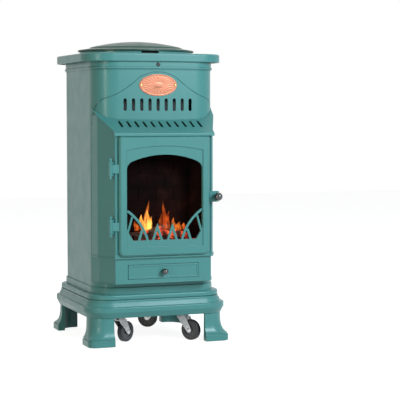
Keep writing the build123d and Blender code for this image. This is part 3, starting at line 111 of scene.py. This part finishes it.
# roughness that varies with the noise
def unevenGloss(tree, shader, fac, roughness, spread):
    uneven = remap(tree, fac, noiseRange, [roughness * share for share in spread])
    tree.links.new(uneven, shader.inputs["Roughness"])


# bump of a depth in millimetres, over edges rounded by a radius in millimetres
def dent(tree, shader, fac, strength, depth, edge=0):
    bump = tree.nodes.new("ShaderNodeBump")
    bump.inputs["Strength"].default_value = strength
    bump.inputs["Distance"].default_value = depth * mm
    tree.links.new(fac, bump.inputs["Height"])
    if edge:
        rounded = tree.nodes.new("ShaderNodeBevel")
        rounded.samples = 6
        rounded.inputs["Radius"].default_value = edge * mm
        tree.links.new(rounded.outputs["Normal"], bump.inputs["Normal"])
    tree.links.new(bump.outputs["Normal"], shader.inputs["Normal"])


# stove enamel: faint clouds, orange peel, and edges where the paint is drawn round
def enamelFinish(name, look):
    finish, tree, shader, place = startFinish(name, look)
    cloud = grain(tree, place, look["cloud"], detail=3)
    tree.links.new(toned(tree, cloud, look["colour"], tones=(0.965, 1.03)), shader.inputs["Base Color"])
    mottle = grain(tree, place, look["mottle"], detail=2)
    unevenGloss(tree, shader, mottle, look["roughness"], spread=(0.85, 1.15))
    peel = grain(tree, place, look["peel"], detail=2)
    dent(tree, shader, peel, look["peelStrength"], depth=0.08, edge=look.get("edge", 0))
    return finish


def metalFinish(name, look):
    finish, tree, shader, place = startFinish(name, look)
    brushed = grain(tree, place, look["brush"], detail=5, stretch=look["along"])
    shine = toned(tree, brushed, look["colour"], tones=(0.86, 1.08), spots=(0.3, 0.72))
    tree.links.new(shine, shader.inputs["Base Color"])
    unevenGloss(tree, shader, brushed, look["roughness"], spread=(0.75, 1.3))
    dent(tree, shader, brushed, look["scratch"], depth=0.2)
    return finish


def plasticFinish(name, look):
    finish, tree, shader, place = startFinish(name, look)
    speck = grain(tree, place, look["speck"], detail=3)
    tree.links.new(toned(tree, speck, look["colour"], tones=(0.85, 1.2)), shader.inputs["Base Color"])
    unevenGloss(tree, shader, speck, look["roughness"], spread=(0.85, 1.2))
    dent(tree, shader, speck, look["texture"], depth=0.3)
    return finish


def brickFinish(name, look):
    finish, tree, shader, place = startFinish(name, look)
    soot = grain(tree, place, look["soot"], detail=6)
    # the brick's tones carry soot, and painted shade from their near-black colours
    sootAndShadeTones = shades(tree, soot, ((0.25, look["burnt"]), (0.55, look["colour"]), (0.8, look["pale"])))
    tree.links.new(sootAndShadeTones, shader.inputs["Base Color"])
    dent(tree, shader, grain(tree, place, look["pits"], detail=8), strength=0.6, depth=1.2)
    return finish


# charred bark with ash on its ridges, and patches that glow
def emberFinish(name, look):
    finish, tree, shader, place = startFinish(name, look)
    bark = grain(tree, place, look["bark"], detail=8, stretch=look["along"], distortion=0.6)
    ashen = shades(tree, bark, ((0.3, look["colour"]), (0.75, look["ash"])))
    tree.links.new(ashen, shader.inputs["Base Color"])
    heat = grain(tree, place, look["patch"], detail=5, distortion=1.2)
    start, dullAt, hotAt = look["start"], look["start"] + 0.07, look["start"] + 0.22
    glow = shades(tree, heat, ((start, (0, 0, 0)), (dullAt, look["dull"]), (hotAt, look["hot"])))
    tree.links.new(glow, shader.inputs["Emission Color"])
    shader.inputs["Emission Strength"].default_value = look["glow"]
    dent(tree, shader, bark, strength=0.8, depth=1.6)
    return finish


finishes = {
    "enamel": enamelFinish("tealEnamel", {
        "colour": (0.066, 0.245, 0.236), "roughness": 0.34, "coat": 0.12, "coatRoughness": 0.2,
        "specular": 0.28, "cloud": 5, "mottle": 25, "peel": 500, "peelStrength": 0.012, "edge": 1.4}),
    # the lid enamel is given about a third as bright as the body enamel
    "lid_enamel": enamelFinish("deepGreenEnamel", {
        "colour": (0.03, 0.085, 0.065), "roughness": 0.34, "specular": 0.3,
        "cloud": 7, "mottle": 50, "peel": 700, "peelStrength": 0.03, "edge": 1.0}),
    # black coat; on the heat shield it is also painted shade, standing for the dark seen through the hood slots
    # and under the lower box
    "black_steel": enamelFinish("blackStoveCoat", {
        "colour": (0.018, 0.018, 0.019), "roughness": 0.55,
        "cloud": 30, "mottle": 120, "peel": 900, "peelStrength": 0.1}),
    "bare_steel": metalFinish("bareSteel", {
        "colour": (0.5, 0.5, 0.5), "metallic": 1.0, "roughness": 0.36,
        "brush": 90, "along": (1, 1, 8), "scratch": 0.08}),
    "zinc": metalFinish("zincPlate", {
        "colour": (0.6, 0.61, 0.62), "metallic": 0.9, "roughness": 0.33,
        "brush": 160, "along": (1, 1, 1), "scratch": 0.06}),
    "die_cast": metalFinish("dieCastAlloy", {
        "colour": (0.45, 0.45, 0.46), "metallic": 0.85, "roughness": 0.5,
        "brush": 260, "along": (1, 1, 1), "scratch": 0.25}),
    "brass": metalFinish("fittingBrass", {
        "colour": (0.66, 0.45, 0.16), "metallic": 1.0, "roughness": 0.28,
        "brush": 140, "along": (1, 3, 1), "scratch": 0.06}),
    "copper": metalFinish("badgeCopper", {
        "colour": (0.36, 0.135, 0.08), "metallic": 0.85, "roughness": 0.42,
        "brush": 60, "along": (1, 1, 3), "scratch": 0.5}),
    "black_screw": metalFinish("blackenedScrew", {
        "colour": (0.03, 0.03, 0.032), "metallic": 0.6, "roughness": 0.25,
        "brush": 200, "along": (1, 1, 1), "scratch": 0.05}),
    "black_gloss": plasticFinish("phenolicKnob", {
        "colour": (0.008, 0.008, 0.009), "roughness": 0.1, "coat": 1.0, "coatRoughness": 0.03,
        "speck": 200, "texture": 0.01}),
    "black_plastic": plasticFinish("mouldedBlack", {
        "colour": (0.02, 0.02, 0.021), "roughness": 0.45, "speck": 900, "texture": 0.15}),
    "wheel_hub": plasticFinish("wheelNylon", {
        "colour": (0.075, 0.075, 0.08), "roughness": 0.42, "speck": 500, "texture": 0.08}),
    "wheel_tyre": plasticFinish("tyreRubber", {
        "colour": (0.045, 0.045, 0.05), "roughness": 0.6, "speck": 700, "texture": 0.2}),
    # nearly black brick colours: soot, and painted shade standing for the dark inside of the firebox
    "firebrick": brickFinish("sootedBrick", {
        "colour": (0.009, 0.0035, 0.003), "burnt": (0.003, 0.0025, 0.0025), "pale": (0.02, 0.008, 0.006),
        "roughness": 0.95, "specular": 0.05, "soot": 26, "pits": 260}),
    "ceramic_log": emberFinish("ceramicLog", {
        "colour": (0.03, 0.014, 0.01), "ash": (0.16, 0.08, 0.06), "roughness": 0.95, "specular": 0.1,
        "bark": 70, "along": (0.25, 1, 1), "patch": 30, "start": 0.5,
        "dull": (0.32, 0.014, 0.002), "hot": (1.0, 0.16, 0.02), "glow": 1.6}),
    "ceramic_coal": emberFinish("ceramicCoal", {
        "colour": (0.02, 0.012, 0.01), "ash": (0.12, 0.07, 0.06), "roughness": 0.95, "specular": 0.1,
        "bark": 120, "along": (1, 1, 1), "patch": 44, "start": 0.52,
        "dull": (0.22, 0.01, 0.002), "hot": (0.9, 0.12, 0.02), "glow": 1.2}),
}
slotOf = {part["node"]: part["material_slot"] for part in frame["record"]["subparts"]}
for name, node in nodes.items():
    node.data.materials.clear()
    node.data.materials.append(finishes[slotOf[name]])
print("finishes on", len(nodes), "nodes")


def addPiece(name, mesh, body, slotName, finish=None):
    piece = bpy.data.objects.new(name, mesh)
    bpy.context.scene.collection.objects.link(piece)
    piece.data.materials.append(finish or finishes[slotName])
    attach(piece, body)
    return piece


def meshFrom(name, work, smooth=True):
    bmesh.ops.recalc_face_normals(work, faces=work.faces)
    mesh = bpy.data.meshes.new(name)
    work.to_mesh(mesh)
    work.free()
    for face in mesh.polygons:
        face.use_smooth = smooth
    return mesh


def smoothTo(piece, angle):
    piece.data.set_sharp_from_angle(angle=radians(angle))


# faces between two closed rings of points, or between a ring and one point
def joinRings(work, first, second):
    for step in range(max(len(first), len(second))):
        after = (step + 1) % max(len(first), len(second))
        if len(first) == 1:
            work.faces.new((first[0], second[after], second[step]))
        elif len(second) == 1:
            work.faces.new((first[step], first[after], second[0]))
        else:
            work.faces.new((first[step], first[after], second[after], second[step]))


# turned form: profile of (radius, height) about an axis through place, in millimetres
def turned(work, place, axis, profile, sides=32):
    axis = Vector(axis).normalized()
    side = axis.cross(Vector((0, 0, 1)) if abs(axis.z) < 0.9 else Vector((1, 0, 0))).normalized()
    up = axis.cross(side)
    rings = []
    for radius, height in profile:
        middle = Vector(place) + axis * height
        angles = [2 * pi * step / sides for step in range(sides if radius else 1)]
        rings.append([work.verts.new((middle + (side * cos(angle) + up * sin(angle)) * radius) * mm)
                      for angle in angles])
    for first, second in zip(rings, rings[1:]):
        joinRings(work, first, second)
    for end in (rings[0], rings[-1]):
        if len(end) > 1:
            work.faces.new(end)


# badge: beaded border round a fluted field, on the bowed front; it covers the plain CAD oval
badgeLook = {
    "width": 99.5, "height": 53.5, "middle": 667, "front": 139.45, "thick": 0.8, "bowRadius": 1902.8,
    "rings": 26, "sides": 432, "crowding": 1.6,  # rings crowd towards the border
    "border": (0.9, 0.985), "field": (0.24, 0.86), "fadeIn": 0.1, "fadeOut": 0.08,  # shares of the radius
    "beads": 54, "bead": 0.55, "beadFloor": 0.45, "ground": 0.12,
    "rays": 24, "flute": 0.22, "fluteShift": 0.4, "dome": 0.25, "hub": 0.31, "boss": 0.35}


def badgeHeight(look, share, angle):
    borderIn, borderOut = look["border"]
    fieldIn, fieldOut = look["field"]
    if share > borderOut:
        return 0.0
    if share > borderIn:
        across = (2 * share - borderIn - borderOut) / (borderOut - borderIn)
        beading = look["beadFloor"] + (1 - look["beadFloor"]) * abs(cos(look["beads"] * angle / 2))
        return look["bead"] * sqrt(max(0.0, 1 - across * across)) * beading
    if share > fieldOut:
        return look["ground"]
    if share > fieldIn:
        fade = min(1.0, (share - fieldIn) / look["fadeIn"]) * min(1.0, (fieldOut - share) / look["fadeOut"])
        fluting = look["flute"] * fade * (abs(cos(look["rays"] * angle / 2)) - look["fluteShift"])
        return look["ground"] + look["dome"] * (1 - share * share) + fluting
    return look["ground"] + look["hub"] + look["boss"] * sqrt(max(0.0, 1 - (share / fieldIn) ** 2))


def makeBadge(look):
    work = bmesh.new()
    rings = []
    for ring in range(look["rings"] + 1):
        share = 1 - (ring / look["rings"]) ** look["crowding"]
        points = []
        for side in range(look["sides"] if share else 1):
            angle = 2 * pi * side / look["sides"]
            x = look["width"] / 2 * share * cos(angle)
            z = look["middle"] + look["height"] / 2 * share * sin(angle)
            sag = look["bowRadius"] - sqrt(look["bowRadius"] ** 2 - x * x)
            y = sag - look["front"] - badgeHeight(look, share, angle)
            points.append(work.verts.new(Vector((x, y, z)) * mm))
        rings.append(points)
    back = [work.verts.new(vert.co + Vector((0, look["thick"], 0)) * mm) for vert in rings[0]]
    for first, second in zip([back] + rings, rings):
        joinRings(work, first, second)
    work.faces.new(back)
    smoothTo(addPiece("badgeRelief", meshFrom("badgeRelief", work), "cabinet", "copper"), 50)


makeBadge(badgeLook)

# screw heads: domed, with a recess
swivels = {name.replace("castor_swivel_", ""): Vector(joint["pos_m"]) / mm
           for name, joint in joints.items() if name.startswith("castor_swivel_")}
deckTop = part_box("control_deck")[1].z / mm
plateScrews = {"aside": (-15, 15), "foot": 70.5}  # from the swivel to each screw, and the plate's underside
deckScrews = ((120, -98), (148, 40), (120, 190))  # x on either side, y
screwLook = {
    "castorPlates": {
        "body": "cabinet", "slot": "zinc", "radius": 3.2, "tall": 1.8, "axis": (0, 0, -1),
        "spots": [(swivel.x + dx, swivel.y + dy, plateScrews["foot"]) for swivel in swivels.values()
                  for dx in plateScrews["aside"] for dy in plateScrews["aside"]]},
    "deck": {
        "body": "cabinet", "slot": "black_screw", "radius": 3.5, "tall": 1.8, "axis": (0, 0, 1),
        "spots": [(x, y, deckTop) for aside, y in deckScrews for x in (-aside, aside)]},
    "shield": {
        "body": "cabinet", "slot": "bare_steel", "radius": 3.2, "tall": 1.6, "axis": (0, 1, 0),
        "spots": [(x, -106, z) for x in (-132, 132) for z in (180, 420, 660)]},
}
screwForm = {"sunk": 0.4, "sides": 18, "recess": (0.42, 0.5),  # shares of the head's radius and height
             "dome": ((1, 0.25), (0.93, 0.55), (0.75, 0.85), (0.45, 1))}


def makeScrews(name, look, form):
    radius, tall = look["radius"], look["tall"]
    recess, floor = form["recess"]
    profile = [(radius, -form["sunk"])]
    profile += [(radius * across, tall * up) for across, up in form["dome"]]
    profile += [(radius * recess, tall * floor), (0, tall * floor)]
    work = bmesh.new()
    for spot in look["spots"]:
        turned(work, spot, look["axis"], profile, form["sides"])
    smoothTo(addPiece(name + "Screws", meshFrom(name + "Screws", work), look["body"], look["slot"]), 40)


for name, look in screwLook.items():
    makeScrews(name, look, screwForm)
print("badge and screws made")

# castors: race ring under each plate, caps on the axles
castorLook = {
    "forkHalf": 11.0, "cap": ((5.2, 0), (5.2, 0.9), (4.16, 1.7), (2.08, 2.1), (0, 2.2)), "capSides": 24,
    "race": ((12.5, 67.2), (15.6, 67.2), (16.4, 68.55), (15.6, 69.9), (12.5, 69.9)), "raceSides": 40}


def makeCastor(place, swivel, look):
    sides = look["raceSides"]
    angles = [2 * pi * step / sides for step in range(sides)]
    work = bmesh.new()
    rings = [[work.verts.new(Vector((swivel.x + radius * cos(angle), swivel.y + radius * sin(angle), z)) * mm)
              for angle in angles] for radius, z in look["race"]]
    for first, second in zip(rings, rings[1:] + rings[:1]):
        joinRings(work, first, second)
    smoothTo(addPiece("raceRing_" + place, meshFrom("raceRing", work), "castor_" + place, "zinc"), 35)
    spin = joints["wheel_spin_" + place]
    axle, across = Vector(spin["pos_m"]) / mm, Vector(spin["axis"])
    work = bmesh.new()
    for side in (1, -1):
        turned(work, axle + across * side * look["forkHalf"], across * side, look["cap"], look["capSides"])
    smoothTo(addPiece("axleCaps_" + place, meshFrom("axleCaps", work), "castor_" + place, "zinc"), 35)


for place, swivel in swivels.items():
    makeCastor(place, swivel, castorLook)
print("castor fittings made")

# rear louvres: a half-round hood pressed out over each slot, in two blocks of five rows
louvreLook = {
    "blocks": (241, 626), "rows": 5, "pitch": 15, "columns": (-60, 0, 60), "half": 22.5, "out": 3.6,
    "tall": 2.9, "rise": 1.4, "sunk": 0.2, "sheet": 0.7, "squareness": 3.2, "steps": 16, "lanes": 7}


def makeHood(work, x, z, rear, look):
    lanes = []
    for lane in range(look["lanes"] + 1):
        lean = pi / 2 * lane / look["lanes"]
        points = []
        for step in range(look["steps"] + 1):
            share = -1 + 2 * step / look["steps"]
            swell = sqrt(max(0.0, 1 - abs(share) ** look["squareness"]))
            points.append(work.verts.new(Vector((
                x + look["half"] * share,
                rear - look["sunk"] + look["out"] * swell * sin(lean),
                z + look["rise"] + look["tall"] * swell * cos(lean))) * mm))
        lanes.append(points)
    for first, second in zip(lanes, lanes[1:]):
        for step in range(look["steps"]):
            work.faces.new((first[step], first[step + 1], second[step + 1], second[step]))


def makeLouvres(look):
    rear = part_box("rear_cover")[1].y / mm
    work = bmesh.new()
    for middle in look["blocks"]:
        for row in range(look["rows"]):
            for x in look["columns"]:
                makeHood(work, x, middle + look["pitch"] * (row - (look["rows"] - 1) / 2), rear, look)
    bmesh.ops.remove_doubles(work, verts=work.verts, dist=0.01 * mm)
    piece = addPiece("rearLouvres", meshFrom("rearLouvres", work), "rear_cover", "enamel")
    skin = piece.modifiers.new("skin", "SOLIDIFY")
    skin.thickness = look["sheet"] * mm
    skin.offset = -1
    smoothTo(piece, 50)


makeLouvres(louvreLook)

# gas inlet: hexagon and threaded stub with its bore, in place of the plain CAD fitting
inletLook = {"root": 5.8, "crest": 6.5, "pitch": 1.6, "lead": 1.4, "bore": 3.2, "deep": -3, "chamfer": 0.9,
             "bevel": 0.8, "mouth": 0.5, "sides": 36}


def makeInlet(look):
    low, high = (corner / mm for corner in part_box("inlet_fitting"))
    place = ((low.x + high.x) / 2, 0, (low.z + high.z) / 2)
    hexRadius = (high.z - low.z) / 2
    inner = hexRadius - look["chamfer"]
    hexagon = [(inner, low.y), (hexRadius, low.y + look["bevel"]), (hexRadius, -look["bevel"]), (inner, 0)]
    stub = [(look["root"], -1.0)]
    spot = look["lead"]
    while spot + look["pitch"] < high.y:
        stub += [(look["root"], spot), (look["crest"], spot + look["pitch"] / 2)]
        spot += look["pitch"]
    stub += [(look["root"], spot), (look["root"] - look["mouth"], high.y), (look["bore"], high.y),
             (look["bore"], look["deep"]), (0, look["deep"])]
    work = bmesh.new()
    turned(work, place, (0, 1, 0), hexagon, 6)
    turned(work, place, (0, 1, 0), stub, look["sides"])
    fitting = addPiece("inletThreaded", meshFrom("inletThreaded", work, False), "cabinet", "brass")
    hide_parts("inlet_fitting")


# figures round the control knob, and the pointer on it
dialLook = {
    "figures": (("OFF", 180), ("1", 120), ("2", 60), ("3", 0)), "size": 8.5, "thick": 0.1, "ring": 35,
    "lift": 0.08, "pointer": {"far": 15, "near": 5, "half": 0.8, "below": 0.2, "above": 0.25}}
printFinish = plasticFinish("dialPrint", {
    "colour": (0.75, 0.75, 0.73), "roughness": 0.6, "speck": 600, "texture": 0.05})


def makeFigure(text, spot, look):
    figure = bpy.data.curves.new("dial" + text, "FONT")
    figure.body = text
    figure.size = look["size"] * mm
    figure.extrude = look["thick"] * mm
    figure.align_x = "CENTER"
    figure.align_y = "CENTER"
    word = bpy.data.objects.new("dial" + text, figure)
    bpy.context.scene.collection.objects.link(word)
    word.location = spot
    bpy.context.view_layer.update()
    mesh = bpy.data.meshes.new_from_object(word)
    mesh.transform(word.matrix_world)
    bpy.data.objects.remove(word)
    addPiece("dialFigure" + text, mesh, "cabinet", "black_screw", printFinish)


def makeDial(look):
    knob = Vector(joints["control_knob_turn"]["pos_m"]) / mm
    for text, angle in look["figures"]:
        turn = radians(angle)
        spot = (knob.x + look["ring"] * cos(turn), knob.y - look["ring"] * sin(turn), deckTop + look["lift"])
        makeFigure(text, Vector(spot) * mm, look)
    knobTop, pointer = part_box("control_knob")[1].z / mm, look["pointer"]
    left, right, half = knob.x - pointer["far"], knob.x - pointer["near"], pointer["half"]
    outline = ((left, -half), (right, -half), (right, half), (left, half))
    corners = [Vector((x, knob.y + y, z)) * mm
               for z in (knobTop - pointer["below"], knobTop + pointer["above"]) for x, y in outline]
    mesh = bpy.data.meshes.new("knobPointer")
    mesh.from_pydata(corners, [], [(3, 2, 1, 0), (4, 5, 6, 7)] + [
        (step, (step + 1) % 4, (step + 1) % 4 + 4, step + 4) for step in range(4)])
    addPiece("knobPointer", mesh, "control_knob", "black_plastic", printFinish)


makeInlet(inletLook)
makeDial(dialLook)
print("louvres, inlet thread and dial made")

# flames over the logs: tapering tongues, clear at their sides and tips
flameLook = {
    "tongues": (  # middle x, y, foot z, top z, half width, lean, turn
        (-36, -150, 296, 352, 11, 4, 0.3), (-45, -146, 296, 338, 9, -4, 1.4),
        (-27, -152, 296, 334, 8, 3, 2.2), (-34, -142, 298, 376, 7, 6, 3.1),
        (13, -148, 298, 382, 6, -3, 0.8), (20, -150, 297, 346, 7, 4, 1.9),
        (8, -143, 298, 340, 7, -4, 2.9), (50, -151, 294, 320, 9, 3, 2.6),
        (66, -146, 294, 314, 8, 2, 0.9), (-62, -146, 296, 322, 8, -3, 0.4),
        (38, -144, 296, 328, 7, 2, 1.2)),
    "hot": (0, 1, 2), "rings": 18, "sides": 14, "flat": 0.45,
    "start": 0.16, "belly": 0.75, "taper": 1.15, "tip": 0.05,  # how the girth swells and ends
    "curl": 1.5, "sway": 0.22, "waves": 5, "wobble": 0.14, "lobes": 3, "twist": 4,
    "thin": (305, 385)}  # heights between which the flames thin out
flameColours = {
    "hot": {"name": "yellowFlame", "core": (1.0, 0.6, 0.12), "edge": (1.0, 0.22, 0.02), "glow": 3.4},
    "red": {"name": "redFlame", "core": (1.0, 0.22, 0.03), "edge": (0.6, 0.04, 0.006), "glow": 1.8}}


def times(tree, first, second):
    product = tree.nodes.new("ShaderNodeMath")
    product.operation = "MULTIPLY"
    tree.links.new(first, product.inputs[0])
    tree.links.new(second, product.inputs[1])
    return product.outputs["Value"]


def flameFinish(colours, thin):
    look = {"colour": (0, 0, 0), "roughness": 1.0, "specular": 0.0}
    finish, tree, shader, place = startFinish(colours["name"], look)
    lick = grain(tree, place, 45, detail=4, stretch=(1, 1, 0.35), distortion=0.8)
    fire = shades(tree, lick, ((0.36, colours["edge"]), (0.62, colours["core"])))
    tree.links.new(fire, shader.inputs["Emission Color"])
    shader.inputs["Emission Strength"].default_value = colours["glow"]
    facing = tree.nodes.new("ShaderNodeLayerWeight")
    facing.inputs["Blend"].default_value = 0.5
    sides = remap(tree, facing.outputs["Facing"], (0.7, 0.0), (0.0, 0.5))
    wisp = grain(tree, place, 70, detail=5, stretch=(1, 1, 0.28), distortion=2.2)
    wisps = remap(tree, wisp, noiseRange, (-0.15, 1.0))
    split = tree.nodes.new("ShaderNodeSeparateXYZ")
    tree.links.new(place, split.inputs["Vector"])
    tips = remap(tree, split.outputs["Z"], [height * mm for height in thin], (1.0, 0.04))
    tree.links.new(times(tree, times(tree, sides, wisps), tips), shader.inputs["Alpha"])
    return finish


def makeFlame(work, tongue, look):
    x, y, foot, top, half, lean, turn = tongue
    angles = [2 * pi * side / look["sides"] for side in range(look["sides"])]
    rings = []
    for step in range(look["rings"] + 1):
        share = step / look["rings"]
        swell = sin(pi * min(1, look["start"] + share * (1 - look["start"])) ** look["belly"])
        girth = half * swell ** look["taper"] + look["tip"]
        middle = x + lean * share ** look["curl"] + look["sway"] * half * sin(look["waves"] * share + turn)
        z = foot + (top - foot) * share
        ring = []
        for angle in angles:
            wave = sin(look["lobes"] * angle + turn + look["twist"] * share)
            reach = girth * (1 + look["wobble"] * wave)
            spot = Vector((middle + reach * cos(angle), y + look["flat"] * reach * sin(angle), z))
            ring.append(work.verts.new(spot * mm))
        rings.append(ring)
    for first, second in zip(rings, rings[1:]):
        joinRings(work, first, second)
    work.faces.new(rings[0])
    work.faces.new(rings[-1])


def makeFlames(look):
    flameFinishes = {kind: flameFinish(colours, look["thin"]) for kind, colours in flameColours.items()}
    for index, tongue in enumerate(look["tongues"]):
        work = bmesh.new()
        makeFlame(work, tongue, look)
        kind = "hot" if index in look["hot"] else "red"
        mesh = meshFrom("flame", work)
        addPiece("flame" + str(index + 1), mesh, "cabinet", "ceramic_log", flameFinishes[kind])


makeFlames(flameLook)
print("flames made")

# stage: the camera and reflections see it white, and the light that it gives back is dimmer
stageLook = {"half": 6.0, "paper": 0.6, "lift": 0.9, "ambient": 0.1}


def seenDirectly(tree):
    path = tree.nodes.new("ShaderNodeLightPath")
    seen = path.outputs["Is Camera Ray"]
    for kind in ("Is Glossy Ray", "Is Transmission Ray"):
        larger = tree.nodes.new("ShaderNodeMath")
        larger.operation = "MAXIMUM"
        tree.links.new(seen, larger.inputs[0])
        tree.links.new(path.outputs[kind], larger.inputs[1])
        seen = larger.outputs["Value"]
    return seen


def makeStage(look):
    half = look["half"]
    mesh = bpy.data.meshes.new("studioFloor")
    corners = [(-half, -half, 0), (half, -half, 0), (half, half, 0), (-half, half, 0)]
    mesh.from_pydata(corners, [], [(0, 1, 2, 3)])
    floor = bpy.data.objects.new("studioFloor", mesh)
    bpy.context.scene.collection.objects.link(floor)
    paper = {"colour": (look["paper"],) * 3, "roughness": 0.9, "specular": 0.0}
    finish, tree, shader = startFinish("studioPaper", paper)[:3]
    shader.inputs["Emission Color"].default_value = (1, 1, 1, 1)
    lift = remap(tree, seenDirectly(tree), (0, 1), (0, look["lift"]))
    tree.links.new(lift, shader.inputs["Emission Strength"])
    mesh.materials.append(finish)
    world = bpy.data.worlds.new("studioWorld")
    bpy.context.scene.world = world
    world.use_nodes = True
    tree = world.node_tree
    sky = tree.nodes["Background"]
    sky.inputs["Color"].default_value = (1, 1, 1, 1)
    tree.links.new(remap(tree, seenDirectly(tree), (0, 1), (look["ambient"], 1)), sky.inputs["Strength"])


makeStage(stageLook)

# lamps, in metres and watts
lamps = {  # place, aim, width, height, power, colour
    "keyLamp": ((1.3, -2.9, 1.75), (0, 0, 0.4), 1.2, 1.4, 108, (0.78, 0.92, 1.0)),
    "cornerStrip": ((-2.2, -1.65, 0.6), (0, -0.05, 0.4), 0.16, 1.9, 22, (1.0, 0.92, 0.7)),
    "leftLamp": ((-2.6, 0.3, 0.9), (0, 0, 0.4), 0.9, 1.6, 0.8, (1.0, 0.72, 0.42)),
    "topLamp": ((0.1, 0.3, 2.7), (0, 0, 0.5), 1.2, 1.2, 9, (1, 1, 1)),
}
fireGlow = {"place": (0.03, -0.155, 0.335), "power": 0.05, "colour": (1.0, 0.25, 0.06), "size": 0.02}


def addLamp(name, kind, place, power, colour):
    light = bpy.data.lights.new(name, kind)
    light.energy = power
    light.color = colour
    lamp = bpy.data.objects.new(name, light)
    bpy.context.scene.collection.objects.link(lamp)
    lamp.location = place
    return lamp


for name, (place, aim, width, height, power, colour) in lamps.items():
    lamp = addLamp(name, "AREA", place, power, colour)
    lamp.data.shape = "RECTANGLE"
    lamp.data.size, lamp.data.size_y = width, height
    lamp.rotation_euler = (Vector(aim) - Vector(place)).to_track_quat("-Z", "Y").to_euler()
glow = addLamp("fireGlow", "POINT", fireGlow["place"], fireGlow["power"], fireGlow["colour"])
glow.data.shadow_soft_size = fireGlow["size"]

# camera: round to the hinge side of the door and looking a little down, in degrees and metres
shot = {"side": 20.6, "down": 3.6, "reach": 3.716416, "right": 0.162497, "high": 0.363676, "forward": 0.02,
        "focalPixels": 1390, "widthPixels": 400, "sensor": 36}
turn, dip = radians(shot["side"]), radians(shot["down"])
ahead = Vector((sin(turn) * cos(dip), cos(turn) * cos(dip), -sin(dip)))
across = Vector((cos(turn), -sin(turn), 0))
lens = bpy.data.cameras.new("photoCamera")
lens.lens = shot["focalPixels"] / shot["widthPixels"] * shot["sensor"]
lens.sensor_width = shot["sensor"]
lens.clip_end = 30
camera = bpy.data.objects.new("photoCamera", lens)
bpy.context.scene.collection.objects.link(camera)
camera.location = across * shot["right"] + Vector((0, shot["forward"], shot["high"])) - ahead * shot["reach"]
camera.rotation_euler = ahead.to_track_quat("-Z", "Y").to_euler()
bpy.context.scene.camera = camera
bpy.context.scene.view_settings.view_transform = "Standard"
print("stage, lamps and camera placed")
